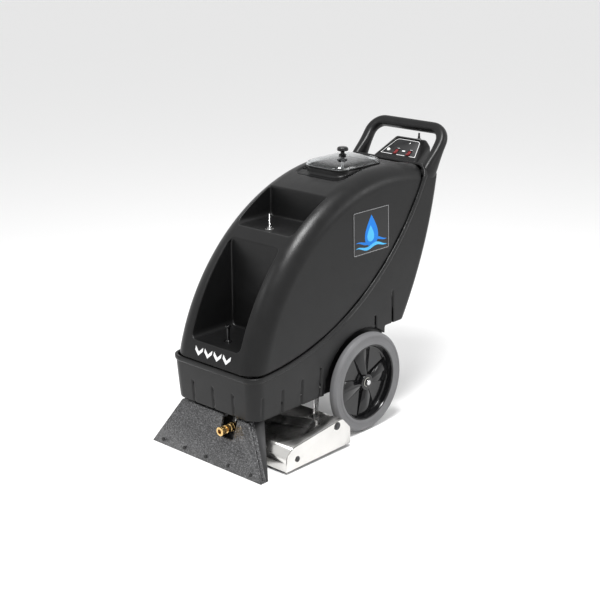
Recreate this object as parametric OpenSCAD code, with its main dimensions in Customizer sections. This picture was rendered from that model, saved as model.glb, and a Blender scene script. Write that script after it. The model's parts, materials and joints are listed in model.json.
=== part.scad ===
// Self-contained carpet extractor: a rotomoulded base and recovery tank on two wheels, with a
// vacuum shoe at the front, a floating brush deck underneath and a loop handle at the back.
// Origin: on the floor, under the middle of the machine's outline. +X is the operator's left,
// -Y is forwards and +Z is up. Millimetres.

/* [Wheels] */
// Radius of the tyre, which is also the height of the axle
tyre_r = 152.4; // [150:0.1:155]
// How far the axle is behind the middle of the machine
axle_y = 24; // [22:1:26]
// Distance from the middle to the outer face of a tyre
tyre_face_x = 196; // [194:1:200]
// Width of a tyre
tyre_w = 28; // [24:1:30]
// Radius of the rim where the tyre sits on it
rim_r = 116; // [112:1:120]
// Radius of the axle
axle_r = 9.5; // [8:0.5:10]
// Number of wedge-shaped blades in a rim
blade_count = 4; // [3:1:6]

/* [Body] */
// Height of the base's bottom edge above the floor
base_z = 148; // [144:1:150]
// Radius of the arc that makes the front and top of the body, seen from the side
arc_r = 622; // [618:1:626]
// How far behind the middle of the machine that arc's centre is
arc_y = 175; // [173:1:177]
// Height of that arc's centre
arc_z = 156; // [154:1:158]
// Half-width of the body at its widest height
body_half_w = 171; // [169:1:173]
// Height at which the body is widest
wide_z = 300; // [290:1:310]
// How much narrower each side is at the base's bottom edge
base_draft = 5; // [3:1:8]
// How much narrower each side is 400 mm above the widest height
tank_draft = 11; // [8:1:13]
// Radius of the tank's shoulders between its sides and its front and top
shoulder_r = 60; // [54:1:64]
// Radius of the base's corners between its sides and its front
base_corner_r = 42; // [38:1:46]
// Radius of the corners between the sides and the back
rear_corner_r = 26; // [22:1:30]
// Radius of the seam between base and tank, seen from the side
seam_r = 846; // [840:1:850]
// Height of the centre of the seam's arc
seam_z = 1125; // [1121:1:1127]
// How far in front of the middle the centre of the seam's arc is
seam_y = 431; // [425:1:436]
// Wall thickness of the rotomoulded shells
wall = 5.5; // [4.5:0.5:6]
// How far the lip under the seam stands proud of the ribbed band
lip_proud = 3.5; // [2.5:0.5:4.5]
// Height of that lip
lip_h = 13; // [10:1:16]
// How far the tank stands back from the lip
tank_step = 6; // [5:0.5:7]
// Radius of the vertical grooves in the band
groove_r = 4.2; // [3:0.1:4.5]
// Distance between neighbouring grooves
groove_pitch = 80; // [78:1:82]

/* [Recesses] */
// Half-width of the front bay
bay_half_w = 97; // [92:1:99]
// Height of the bay's floor
bay_floor_z = 335; // [333:1:340]
// Height of the bay's top edge
bay_top_z = 609; // [604:1:610]
// Distance of the bay's back wall in front of the middle
bay_back_y = 250; // [246:1:254]
// Half-width of the upper tray
tray_half_w = 110; // [104:1:112]
// Height of the tray's floor
tray_floor_z = 629; // [626:1:632]
// Distance of the tray's back wall in front of the middle
tray_back_y = 74; // [70:1:78]

/* [Vacuum shoe] */
// Half-width of the shoe along the floor
shoe_half_w = 223; // [219:1:225]
// Half-width of the shoe along its top edge
shoe_top_half_w = 135; // [130:1:140]
// Height of the shoe
shoe_h = 142; // [139:1:143]
// Distance of the shoe's floor edge in front of the middle
shoe_front_y = 462; // [460:1:463]

/* [Brush deck] */
// Half-width of the deck over its end plates
deck_half_w = 233; // [230:1:234]
// Radius of the brush over its bristles
brush_r = 34.5; // [32:0.5:34.5]
// Radius of the tube that holds the bristles
brush_core_r = 21; // [18:0.5:22]
// Rows of tufts round the brush
tuft_rows = 8; // [5:1:10]

/* [Handle and lid] */
// Half the thickness of the handle's bar
bar_r = 17; // [15:0.5:17]
// Half-width of the handle, to the middle of its legs
handle_half_w = 140.5; // [138:0.5:143]
// Height of the middle of the handle's bar
bar_z = 845; // [842:1:847]
// Half-width of the dome lid
dome_half_w = 75; // [72:1:78]
// Length of the dome lid from front to back
dome_l = 198; // [190:1:200]
// Height of the dome's top
dome_top_z = 794; // [790:1:798]

/* [Hidden] */
$fn = 64;
black = "#1b1b1d";

// The body's outline, seen from the side, is an arc over the front and top and a flatter arc down
// the back. Both keep their centres when the outline is drawn inside itself, by k and by back_k.
arc_c = [arc_y, arc_z];
back_c = [-796, 947];
back_r = 1215;
front_z = 275;
foot_z = 60;
back_foot_z = 205;
front_lean = 0.079;
arc_n = 30;
back_n = 9;
shoulder_n = 5;

function polar(c, r, a) = [c[0] + r * cos(a), c[1] + r * sin(a)];
function angle_from(c, p) = atan2(p[1] - c[1], p[0] - c[0]);
// The upper of the two points where circles c1, r1 and c2, r2 cross
function circles_meet(c1, r1, c2, r2) =
    let (d = norm(c2 - c1), a = (r1 * r1 - r2 * r2 + d * d) / (2 * d), h = sqrt(r1 * r1 - a * a), u = (c2 - c1) / d)
    c1 + a * u + h * [u[1], -u[0]];
function arc(c, r, a, b, n) = [for (i = [0:n]) polar(c, r, a + (b - a) * i / n)];
function tail(list) = [for (i = [1:len(list) - 1]) list[i]];

function outline(k, back_k) =
    let (
        top = circles_meet(arc_c, arc_r - k, back_c, back_r - back_k),
        front_a = 180 - asin((front_z - arc_z) / (arc_r - k)),
        front_y = arc_y + (arc_r - k) * cos(front_a),
        back_a = asin((back_foot_z - back_c[1]) / (back_r - back_k)),
        back_y = back_c[0] + (back_r - back_k) * cos(back_a)
    )
    concat(
        [[front_y + front_lean * (front_z - foot_z), foot_z]],
        arc(arc_c, arc_r - k, front_a, angle_from(arc_c, top), arc_n),
        tail(arc(back_c, back_r - back_k, angle_from(back_c, top), back_a, back_n)),
        [[back_y, foot_z]]
    );

function body_w(z) =
    z < wide_z
    ? body_half_w - base_draft * pow((wide_z - z) / (wide_z - base_z), 2)
    : body_half_w - tank_draft * (z - wide_z) / 400;

// The seam is a circle about an axis along X. What is inside it is tank, what is outside is base.
function seam_height(y) = seam_z - sqrt(seam_r * seam_r - pow(y + seam_y, 2));
function top_height(y) = arc_z + sqrt(arc_r * arc_r - pow(y - arc_y, 2));

// One ring of the body on the side sgn. h is how far inside the outline it is at the front and top,
// inside the side and inside the back, and then its size as a fraction about the middle of the side
mid = [20, 430];
function body_ring(h, sgn) = [
    for (p = outline(h[0], h[2]))
        let (y = mid[0] + h[3] * (p[0] - mid[0]), z = mid[1] + h[3] * (p[1] - mid[1]))
        [sgn * (body_w(z) - h[1]), y, z]
];
// How far a corner of radius r is inside the back where it is s inside the side
function corner_inset(r, s) = s >= r ? 0 : r - sqrt(r * r - (r - s) * (r - s));

// The whole body as one smooth solid, k inside the base's lip
module pillow(k = 0, corner = shoulder_r) {
    r = corner - k;
    back_r = rear_corner_r - k;
    rim = [
        for (i = [0:shoulder_n])
            let (t = 90 * i / shoulder_n, s = r - r * sin(t))
            [k + r * (1 - cos(t)), k + s, k + corner_inset(back_r, s), 1]
    ];
    half = concat(rim, [for (size = [0.6, 0.25]) [k + r, k, k + back_r, size]]);
    m = len(half);
    rings = concat([for (i = [m - 1:-1:0]) body_ring(half[i], 1)], [for (i = [0:m - 1]) body_ring(half[i], -1)]);
    n = len(rings[0]);
    side_x = body_w(mid[1]) - k;
    points = concat([for (ring = rings) each ring], [[side_x, mid[0], mid[1]], [-side_x, mid[0], mid[1]]]);
    last = (len(rings) - 1) * n;
    faces = concat(
        [for (i = [0:len(rings) - 2], j = [0:n - 1])
            let (a = i * n + j, b = i * n + (j + 1) % n) each [[a, a + n, b], [b, a + n, b + n]]],
        [for (j = [0:n - 1]) [len(points) - 2, j, (j + 1) % n]],
        [for (j = [0:n - 1]) [len(points) - 1, last + (j + 1) % n, last + j]]
    );
    polyhedron(points, faces);
}

module along_x(x0, x1) {
    translate([x0, 0, 0]) rotate([90, 0, 90]) linear_extrude(x1 - x0) children();
}
module rod_x(x0, x1, y, z, r) {
    translate([x0, y, z]) rotate([0, 90, 0]) cylinder(h = x1 - x0, r = r);
}
module box(x0, x1, y0, y1, z0, z1) {
    translate([x0, y0, z0]) cube([x1 - x0, y1 - y0, z1 - z0]);
}
module both_sides() {
    children();
    mirror([1, 0, 0]) children();
}
module inside_seam(gap = 0) {
    translate([-300, -seam_y, seam_z]) rotate([0, 90, 0]) cylinder(h = 600, r = seam_r - gap, $fn = 200);
}

// ---------------------------------------------------------------- base shell
bay_wall = 6;
arch_r = tyre_r + 9;
arch_x = 155;
belly_end_y = 131;
belly_end_z = 297;
side_grooves = [for (i = [0:7]) -394 + groove_pitch * i];

module groove(x0, y0, x1, y1, z1) {
    hull() {
        translate([x0, y0, base_z - 10]) sphere(groove_r, $fn = 10);
        translate([x1, y1, z1]) sphere(groove_r, $fn = 10);
    }
}

module grooves() {
    wall_w = lip_proud - 0.4;
    front = arc_y - sqrt(arc_r * arc_r - pow(front_z - arc_z, 2)) + wall_w;
    for (x = [-1, 0, 1] * groove_pitch)
        groove(x, front + front_lean * (front_z - base_z), x, front + front_lean * 60, 215);
    both_sides() {
        corner = base_corner_r * (1 - cos(45));
        groove(body_w(base_z) - corner, front + corner + 8, body_w(215) - corner, front + corner + 3, 215);
        for (y = side_grooves) {
            top_z = seam_height(y) - 65 - 65 * pow((y - side_grooves[0]) / 567, 1.3);
            groove(body_w(base_z) - wall_w, y, body_w(top_z) - wall_w, y, top_z);
        }
    }
}

module belly_step(g = 0) {
    box(-300, 300, belly_end_y - g, 600, 0, belly_end_z + g);
}

module base_shell() {
    color(black) difference() {
        union() {
            difference() {
                pillow(lip_proud, base_corner_r);
                difference() {
                    pillow(lip_proud + wall, base_corner_r);
                    belly_step(wall);
                    both_sides() rod_x(arch_x - wall, 200, axle_y, tyre_r, arch_r + wall);
                }
            }
            difference() {
                intersection() {
                    pillow(0, base_corner_r);
                    inside_seam(-lip_h);
                }
                pillow(lip_proud + wall, base_corner_r);
            }
        }
        inside_seam(0);
        belly_step();
        box(-300, 300, -600, 600, 0, base_z);
        both_sides() {
            rod_x(arch_x, 200, axle_y, tyre_r, arch_r);
            rod_x(120, 200, axle_y, tyre_r, axle_r + 2);
        }
        grooves();
    }
}

// ---------------------------------------------------------------- tank shell
dome_y0 = 24;
dome_y = dome_y0 + dome_l / 2;
rim_z = 768;
pad_depth = 4;
mouth_half_w = dome_half_w - 12;
mouth_half_l = dome_l / 2 - 12;

// A block with rounded upright edges
module rounded_block(hw, y0, y1, z0, z1, r) {
    hull() for (x = [-1, 1] * (hw - r), y = [y0 + r, y1 - r]) translate([x, y, z0]) cylinder(h = z1 - z0, r = r, $fn = 32);
}
// The same with its rounded edges running front to back
module rounded_tunnel(hw, y0, y1, z0, z1, r_low, r_top) {
    hull() {
        for (s = [-1, 1]) {
            translate([s * (hw - r_low), y1, z0 + r_low]) rotate([90, 0, 0]) cylinder(h = y1 - y0, r = r_low, $fn = 32);
            translate([s * (hw - r_top), y1, z1 - r_top]) rotate([90, 0, 0]) cylinder(h = y1 - y0, r = r_top, $fn = 32);
        }
    }
}
module bay(g = 0) {
    rounded_tunnel(bay_half_w + g, -600, -bay_back_y + g, bay_floor_z - g, bay_top_z + g, 18 + g, 28 + g);
}
module tray(g = 0) {
    rounded_tunnel(tray_half_w + g, -600, -tray_back_y + g, tray_floor_z - g, 900, 16 + g, 20 + g);
}
// The shallow pad round the lid, which follows the top's curve
module lid_pad() {
    difference() {
        rounded_block(92, 3, 345, 700, 900, 26);
        pillow(tank_step + pad_depth);
    }
}
module vents() {
    for (i = [-4:4]) {
        y = 318 - 1.1 * i * i;
        z = top_height(y) - 3.5;
        hull() for (dy = [-9, 9]) translate([i * 15, y + dy, z - 0.2 * dy]) sphere(2.4, $fn = 12);
    }
}

module tank_shell() {
    floor_gap = 0.4;
    color(black) difference() {
        union() {
            difference() {
                intersection() {
                    pillow(tank_step);
                    inside_seam(floor_gap);
                }
                difference() {
                    intersection() {
                        pillow(tank_step + bay_wall);
                        inside_seam(floor_gap + bay_wall);
                    }
                    bay(bay_wall);
                    tray(bay_wall);
                    rounded_block(mouth_half_w + 6, dome_y - mouth_half_l - 6, dome_y + mouth_half_l + 6, 744, 800, 34);
                }
                bay();
                tray();
                lid_pad();
                vents();
            }
            rounded_block(dome_half_w - 1, dome_y0 + 1, dome_y0 + dome_l - 1, 750, rim_z, 36);
        }
        rounded_block(mouth_half_w, dome_y - mouth_half_l, dome_y + mouth_half_l, 700, 900, 30);
        translate([0, pipe_y, 450]) cylinder(h = 150, r = pipe_r + 0.4);
    }
}

// ---------------------------------------------------------------- handle
bar_y = 440;
handle_bend_r = 46.5;
leg_down = [0, -0.584, -0.8115];
// Distance down a leg from the bar and the half-thickness there, seen from the side
leg_sections = [[90, 21], [123, 28], [160, 32]];

// Half of the loop as a chain of rounded slices, from the middle of the bar to a leg's foot
function handle_path() =
    let (c = [handle_half_w - handle_bend_r, bar_y, bar_z])
    concat(
        [[0, bar_y, bar_z, bar_r]],
        [for (a = [0:22.5:90])
            let (p = c + handle_bend_r * (sin(a) * [1, 0, 0] + (1 - cos(a)) * leg_down)) [p[0], p[1], p[2], bar_r]],
        [for (s = leg_sections)
            [handle_half_w, bar_y + s[0] * leg_down[1], bar_z + s[0] * leg_down[2], s[1]]]
    );
module handle_slice(s) {
    translate([s[0], s[1], s[2]]) scale([bar_r / s[3], 1, 1]) sphere(s[3], $fn = 20);
}
module handle_loop() {
    path = handle_path();
    color(black) difference() {
        both_sides() for (i = [0:len(path) - 2])
            hull() {
                handle_slice(path[i]);
                handle_slice(path[i + 1]);
            }
        pillow(-0.3, base_corner_r);
    }
}

// ---------------------------------------------------------------- base pan, axle and wheels
pan_z = 170;
pan_t = 3;
bracket_x = 130;

module base_pan() {
    color("#3a3c40") difference() {
        box(-140, 140, -362, 112, pan_z, pan_z + pan_t);
        for (x = [-1, 1] * 90, y = [-330, 90]) translate([x, y, pan_z - 1]) cylinder(h = 5, r = 4.2);
    }
}
module axle() {
    color("silver") rod_x(-tyre_face_x + 3, tyre_face_x - 3, axle_y, tyre_r, axle_r);
}
module axle_brackets() {
    color("#3a3c40") both_sides() difference() {
        union() {
            box(bracket_x, bracket_x + 5, axle_y - 32, axle_y + 32, tyre_r - 4, pan_z - 0.2);
            rod_x(bracket_x, bracket_x + 5, axle_y, tyre_r, 17.4);
            box(bracket_x - 28, bracket_x + 5, axle_y - 32, axle_y + 32, pan_z - 4.2, pan_z - 0.2);
        }
        rod_x(bracket_x - 50, bracket_x + 10, axle_y, tyre_r, axle_r + 0.05);
    }
}
module axle_washers() {
    color("silver") both_sides() difference() {
        rod_x(157, 160, axle_y, tyre_r, 17);
        rod_x(150, 170, axle_y, tyre_r, axle_r + 0.05);
    }
}
module axle_caps() {
    color("silver") both_sides() difference() {
        union() {
            rod_x(tyre_face_x - 5, tyre_face_x - 1, axle_y, tyre_r, 13);
            rod_x(tyre_face_x - 2, tyre_face_x + 1.5, axle_y, tyre_r, 11);
        }
        rod_x(tyre_face_x - 10, tyre_face_x - 2.8, axle_y, tyre_r, axle_r + 0.02);
    }
}
// Turned about the left wheel's axis: the profile's first axis is radius, its second is distance along X
module turned_wheel() {
    translate([0, axle_y, tyre_r]) rotate([90, 0, 90]) rotate_extrude($fn = 128) children();
}
module tyre() {
    x0 = tyre_face_x - tyre_w;
    x1 = tyre_face_x;
    color("#9a9b9d") turned_wheel() polygon(concat(
        [[rim_r, x0 + 1], [rim_r, x1 - 1], [rim_r + 2, x1], [rim_r + 24, x1]],
        arc([tyre_r - 10, x1 - 10], 10, 75, 15, 4),
        arc([tyre_r - 10, x0 + 10], 10, -15, -75, 4),
        [[rim_r + 24, x0], [rim_r + 2, x0]]
    ));
}
module rim() {
    x0 = tyre_face_x - tyre_w;
    x1 = tyre_face_x;
    hub_x = x1 - 6.2;
    blade_a = 43;
    color(black) difference() {
        union() {
            turned_wheel() polygon([
                [rim_r - 0.1, x0 + 1], [rim_r - 0.1, x1 - 1], [rim_r - 5, x1 - 1], [rim_r - 7, x0 + 6],
                [28, x0 + 6], [26, hub_x], [14.05, hub_x], [14.05, x0 - 6], [28, x0 - 6], [28, x0 + 2]
            ]);
            for (i = [0:blade_count - 1])
                translate([0, axle_y, tyre_r]) rotate([90, 0, 90]) rotate(7 - blade_a / 2 + 360 / blade_count * i)
                    rotate_extrude(angle = blade_a, $fn = 96)
                        polygon([[20, x0 + 4], [20, hub_x], [34, hub_x], [rim_r * 0.72, x0 + 8], [rim_r * 0.72, x0 + 4]]);
        }
        rod_x(100, 300, axle_y, tyre_r, 14.05);
    }
}
module bush() {
    color("#d8d4c8") turned_wheel()
        polygon([[axle_r + 0.05, 161], [axle_r + 0.05, 190.4], [14, 190.4], [14, 161]]);
}
module left_tyre() { tyre(); }
module left_rim() { rim(); }
module left_bush() { bush(); }
module right_tyre() { mirror([1, 0, 0]) tyre(); }
module right_rim() { mirror([1, 0, 0]) rim(); }
module right_bush() { mirror([1, 0, 0]) bush(); }

// ---------------------------------------------------------------- vacuum shoe
shoe_top_y = -420;
plate_t = 8;
mouth_gap = 9;
coupler_x = 64;
coupler_z = 111;

// A slice of the shoe, as a trapezium in the XZ plane leaning back with the front plate
module shoe_slab(y_low, y_top, t_low, t_top, hw_cut = 0, z_top = 0) {
    lo = shoe_half_w - hw_cut;
    hi = shoe_top_half_w - hw_cut;
    h = shoe_h - z_top;
    points = [
        [-lo, y_low, 0], [lo, y_low, 0], [lo, y_low + t_low, 0], [-lo, y_low + t_low, 0],
        [-hi, y_top, h], [hi, y_top, h], [hi, y_top + t_top, h], [-hi, y_top + t_top, h]
    ];
    polyhedron(points, [[0, 1, 2, 3], [4, 5, 1, 0], [5, 6, 2, 1], [6, 7, 3, 2], [7, 4, 0, 3], [7, 6, 5, 4]]);
}
module shoe_notch() {
    z0 = 82;
    hull() {
        translate([coupler_x - 10, 0, z0 + 18]) rotate([90, 0, 0]) cylinder(h = 1000, r = 18, center = true);
        translate([coupler_x + 8, 0, z0 + 18]) rotate([90, 0, 0]) cylinder(h = 1000, r = 18, center = true);
        box(coupler_x - 30, coupler_x + 28, -500, 500, shoe_h - 10, shoe_h + 20);
    }
}
module shoe_front_plate() {
    color(black) difference() {
        shoe_slab(-shoe_front_y, shoe_top_y, plate_t, plate_t);
        shoe_notch();
    }
}
module shoe_gasket() {
    color("#0c0c0c") difference() {
        shoe_slab(-shoe_front_y + plate_t + 0.1, shoe_top_y + plate_t + 0.1, 2, 2, 4);
        shoe_slab(-shoe_front_y + plate_t - 3, shoe_top_y + plate_t - 3, 8, 8, 18, 20);
        translate([0, 0, -12]) shoe_slab(-shoe_front_y, shoe_top_y, 30, 30, 18, 0);
        shoe_notch();
        box(-300, 300, -600, 0, -20, 3);
    }
}
module shoe_rear_body() {
    y_low = -shoe_front_y + plate_t + 2.2;
    y_top = shoe_top_y + plate_t + 2.2;
    color(black) difference() {
        shoe_slab(y_low, y_top, 20, 54);
        translate([0, 0, -0.01]) difference() {
            shoe_slab(y_low - 4, y_top - 4, mouth_gap + 4, 36 + 4, 12, 10);
            box(-300, 300, -600, 0, shoe_h - 16, shoe_h + 10);
        }
        shoe_notch();
        translate([0, duct_y, 100]) cylinder(h = 60, r = duct_r - 3);
    }
}
module shoe_brackets() {
    y = -394;
    color("silver") both_sides() union() {
        box(96, 112, y - 14, y + 14, shoe_h + 0.2, shoe_h + 2.2);
        box(96, 112, y + 12, y + 14, shoe_h + 0.2, pan_z + 12);
    }
}
module shoe_screws() {
    lean = (shoe_top_y + shoe_front_y) / shoe_h;
    color("#2a2a2c") for (x = [-180, -90, 0, 90, 180], z = [14])
        translate([x, -shoe_front_y + lean * z, z]) rotate([90 - atan(lean), 0, 0]) cylinder(h = 2.6, r = 5, $fn = 24);
}
duct_y = -386;
duct_r = 22;
module suction_duct() {
    color("#303235") translate([0, duct_y, 0]) difference() {
        translate([0, 0, shoe_h + 0.3]) cylinder(h = 124, r = duct_r);
        translate([0, 0, shoe_h - 1]) cylinder(h = 130, r = duct_r - 3);
    }
}

// ---------------------------------------------------------------- brass coupler
coupler_tip_y = -464;
module rod_y(x, z, y0, y1, r) {
    translate([x, y1, z]) rotate([90, 0, 0]) cylinder(h = y1 - y0, r = r);
}
module coupler_body() {
    color("goldenrod") difference() {
        union() {
            rod_y(coupler_x, coupler_z, coupler_tip_y, -424, 9);
            rod_y(coupler_x, coupler_z, -440, -404, 11.5);
            translate([coupler_x, -404, coupler_z]) rotate([90, 0, 0]) cylinder(h = 12, r = 13.5, $fn = 6);
        }
        rod_y(coupler_x, coupler_z, coupler_tip_y - 5, -440, 6.5);
    }
}
module coupler_sleeve() {
    color("goldenrod") difference() {
        union() {
            rod_y(coupler_x, coupler_z, coupler_tip_y + 1, -446, 12.5);
            rod_y(coupler_x, coupler_z, coupler_tip_y + 1, coupler_tip_y + 4, 13.2);
        }
        rod_y(coupler_x, coupler_z, coupler_tip_y - 5, -430, 9.06);
        for (i = [0:23])
            translate([coupler_x, 0, coupler_z]) rotate([0, 15 * i, 0]) box(-0.7, 0.7, coupler_tip_y + 6, -440, 12, 14);
    }
}
module coupler_elbow() {
    color("#202124") union() {
        rod_y(coupler_x, coupler_z, -403.8, -384, 10);
        translate([coupler_x, -384, coupler_z]) sphere(10);
        translate([coupler_x, -384, coupler_z]) cylinder(h = 62, r = 10);
    }
}

// ---------------------------------------------------------------- brush deck
pivot = [-159, 82];
brush_c = [-326, 35];
motor_c = [-208, 52];
sheet = 2;
deck_outline = [[-372, 8], [-368, 49], [-345, 72], [-147, 96], [-136, 96], [-102, 61], [-101, 12]];

function unit(v) = v / norm(v);
function left_of(v) = [-v[1], v[0]];
// The open path p moved t to its right, with mitred corners
function path_inset(p, t) = [
    for (i = [0:len(p) - 1])
        let (
            a = unit(p[min(i + 1, len(p) - 1)] - p[min(i, len(p) - 2)]),
            b = unit(p[max(i, 1)] - p[max(i - 1, 0)]),
            m = unit(left_of(a) + left_of(b))
        )
        p[i] - m * t / (m * left_of(a))
];
function reversed(p) = [for (i = [len(p) - 1:-1:0]) p[i]];

module deck_cover() {
    x = deck_half_w - 3.1;
    color("silver") difference() {
        along_x(-x, x) polygon(concat(deck_outline, reversed(path_inset(deck_outline, sheet))));
        both_sides() box(140, 164, -184, -128, 70, 110);
    }
}
module deck_end_plates() {
    color("silver") both_sides() difference() {
        along_x(deck_half_w - 3, deck_half_w) polygon(deck_outline);
        rod_x(200, 300, pivot[0], pivot[1], 5.02);
        rod_x(200, 300, brush_c[0], brush_c[1], 8.5);
    }
}
module deck_pivot_bolts() {
    color("#2b2b2e") both_sides() {
        rod_x(145, deck_half_w + 0.1, pivot[0], pivot[1], 5);
        rod_x(deck_half_w + 0.1, deck_half_w + 3, pivot[0], pivot[1], 12);
    }
}
module deck_hangers() {
    color("silver") both_sides() difference() {
        union() {
            along_x(150, 153) polygon([[-172, pan_z - 0.2], [-172, 88], [-170, 68], [-148, 68], [-147, 88], [-147, pan_z - 0.2]]);
            box(128, 153, -172, -147, pan_z - 3.2, pan_z - 0.2);
        }
        rod_x(140, 160, pivot[0], pivot[1], 5.06);
    }
}
module brush_core() {
    color("#26282b") difference() {
        union() {
            rod_x(-218, 212, brush_c[0], brush_c[1], brush_core_r);
            rod_x(-230, 224, brush_c[0], brush_c[1], 8);
        }
        rod_x(-300, 300, brush_c[0], brush_c[1], 4);
    }
}
// Rows of tufts in short lengths, each turned a little further than the one before
module brush_bristles() {
    tuft_l = 83;
    color("#2f5fa8") difference() {
        for (i = [0:tuft_rows - 1], k = [0:4])
            translate([-214 + tuft_l * k, brush_c[0], brush_c[1]]) rotate([360 / tuft_rows * i + 8 * k, 0, 0])
                box(0.5, tuft_l - 0.5, -3, 3, brush_core_r - 1, brush_r - 0.2);
        rod_x(-230, 230, brush_c[0], brush_c[1], brush_core_r + 0.03);
    }
}
module brush_bearings() {
    color("#2b2b2e") both_sides() difference() {
        union() {
            rod_x(deck_half_w - 8, deck_half_w - 3.1, brush_c[0], brush_c[1], 17);
            rod_x(deck_half_w - 3.1, deck_half_w + 1, brush_c[0], brush_c[1], 8.4);
        }
        rod_x(200, deck_half_w - 0.5, brush_c[0], brush_c[1], 8.06);
    }
}
module brush_motor() {
    color("#3b3d42") difference() {
        union() {
            rod_x(-110, 60, motor_c[0], motor_c[1], 33);
            rod_x(60, 72, motor_c[0], motor_c[1], 20);
            along_x(-80, 30) polygon([[-234, 72], [-182, 72], [-182, 89.4], [-234, 83.1]]);
        }
        rod_x(50, 80, motor_c[0], motor_c[1], 6.06);
        rod_x(-111, -100, motor_c[0], motor_c[1], 20);
    }
}
module pulley(c, r, bore) {
    difference() {
        union() {
            rod_x(212.5, 222.5, c[0], c[1], r);
            rod_x(212.5, 213.5, c[0], c[1], r + 2);
            rod_x(221.5, 222.5, c[0], c[1], r + 2);
        }
        rod_x(200, 230, c[0], c[1], bore);
    }
}
module brush_pulley() {
    color("#55585e") pulley(brush_c, 22, 8.02);
}
module motor_pulley() {
    color("#55585e") union() {
        pulley(motor_c, 14, 6.02);
        rod_x(52, 222.4, motor_c[0], motor_c[1], 6);
    }
}
// The convex loop round both pulleys, g proud of them: two discs and the quadrilateral between the
// points where the two straight runs touch them
module belt_loop(g) {
    r1 = 22 + g;
    r2 = 14 + g;
    v = motor_c - brush_c;
    base_a = atan2(v[1], v[0]);
    spread = acos((r1 - r2) / norm(v));
    translate(brush_c) circle(r1);
    translate(motor_c) circle(r2);
    polygon([polar(brush_c, r1, base_a + spread), polar(motor_c, r2, base_a + spread),
        polar(motor_c, r2, base_a - spread), polar(brush_c, r1, base_a - spread)]);
}
module drive_belt() {
    gap = 0.4;
    belt_t = 2.2;
    color("#141414") along_x(214, 221) difference() {
        belt_loop(gap + belt_t);
        belt_loop(gap);
    }
}
// The pipe between the shoe and the deck, on two clips at the back of the shoe
manifold_at = [-383, 66];
module spray_manifold() {
    color("#b8babd") union() {
        rod_x(-112, 112, manifold_at[0], manifold_at[1], 5);
        both_sides() box(56, 64, -393.8, manifold_at[0] - 2, manifold_at[1] - 3, manifold_at[1] + 3);
    }
}
module spray_jets() {
    color("goldenrod") for (x = [-96:48:96])
        translate([x, manifold_at[0], manifold_at[1]]) union() {
            translate([0, 0, -16]) cylinder(h = 10.8, r = 3.6);
            translate([0, 0, -19]) cylinder(h = 5, r = 5, $fn = 6);
        }
}

// ---------------------------------------------------------------- inside the base and the tank
module vacuum_motor() {
    color("#4a4c50") translate([-62, 10, pan_z + pan_t + 0.2]) union() {
        cylinder(h = 60, r = 72);
        translate([0, 0, 60]) cylinder(h = 58, r = 50);
        translate([0, 0, 118]) cylinder(h = 16, r = 32);
    }
}
module water_pump() {
    color("#2c2e31") translate([0, 0, pan_z + pan_t + 0.2]) union() {
        box(30, 110, -300, -230, 0, 12);
        translate([70, -210, 42]) rotate([90, 0, 0]) cylinder(h = 100, r = 30);
        box(40, 100, -344, -310, 12, 72);
    }
}
pipe_y = 178;
pipe_r = 24;
module standpipe() {
    color("#d9d9d4") translate([0, pipe_y, 0]) difference() {
        translate([0, 0, 500]) cylinder(h = 180, r = pipe_r);
        translate([0, 0, 490]) cylinder(h = 200, r = pipe_r - 3);
    }
}
module float_cage() {
    color("#c9c9c4") translate([0, pipe_y, 680.2]) difference() {
        union() {
            cylinder(h = 3, r = 26);
            translate([0, 0, 57]) cylinder(h = 3, r = 26);
            for (a = [0:60:300]) rotate(a) translate([22.5, 0, 0]) cylinder(h = 60, r = 2);
        }
        translate([0, 0, -1]) cylinder(h = 5, r = 12);
    }
}
module float_ball() {
    color("#e7e4da") translate([0, pipe_y, 702]) sphere(17);
}

// ---------------------------------------------------------------- lid
knob_y = 120;
module dome_block(g, z1, crown) {
    hull() {
        for (x = [-1, 1] * (dome_half_w - 30), y = [dome_y0 + 30, dome_y0 + dome_l - 30])
            translate([x, y, rim_z + 4]) cylinder(h = 3, r = 30 - g, $fn = 32);
        for (x = [-1, 1] * (dome_half_w - 44), y = [dome_y0 + 48, dome_y0 + dome_l - 48])
            translate([x, y, z1 - 12]) cylinder(h = 1, r = 34 - g, $fn = 32);
        for (x = [-1, 1] * (dome_half_w - 60), y = [dome_y0 + 70, dome_y0 + dome_l - 70])
            translate([x, y, z1 - 1]) cylinder(h = 1, r = 26 - g, $fn = 32);
    }
}
module lid_dome() {
    color([0.7, 0.75, 0.8, 0.4]) difference() {
        dome_block(0, dome_top_z);
        translate([0, 0, -3]) dome_block(3, dome_top_z);
        translate([0, knob_y, 700]) cylinder(h = 200, r = 4.2);
    }
}
module lid_gasket() {
    color("#111111") difference() {
        rounded_block(dome_half_w + 1, dome_y0 - 1, dome_y0 + dome_l + 1, rim_z + 0.3, rim_z + 3.8, 31);
        rounded_block(dome_half_w - 9, dome_y0 + 9, dome_y0 + dome_l - 9, rim_z - 1, rim_z + 5, 24);
    }
}
module lid_knob() {
    z0 = dome_top_z + 0.3;
    color("#151515") translate([0, knob_y, z0]) union() {
        cylinder(h = 4, r = 12);
        cylinder(h = 16, r = 6.5);
        translate([0, 0, 14]) cylinder(h = 9, r = 17);
        translate([0, 0, 23]) cylinder(h = 4, r = 13);
    }
}
module lid_rod() {
    color("silver") translate([0, knob_y, 742]) cylinder(h = dome_top_z - 742 + 0.2, r = 4);
}
module lid_bridge() {
    color("silver") difference() {
        union() {
            box(-mouth_half_w + 0.5, mouth_half_w - 0.5, knob_y - 9, knob_y + 9, 746, 750);
            translate([0, knob_y, 740]) cylinder(h = 14, r = 9);
        }
        translate([0, knob_y, 700]) cylinder(h = 100, r = 4.06);
    }
}

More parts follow.
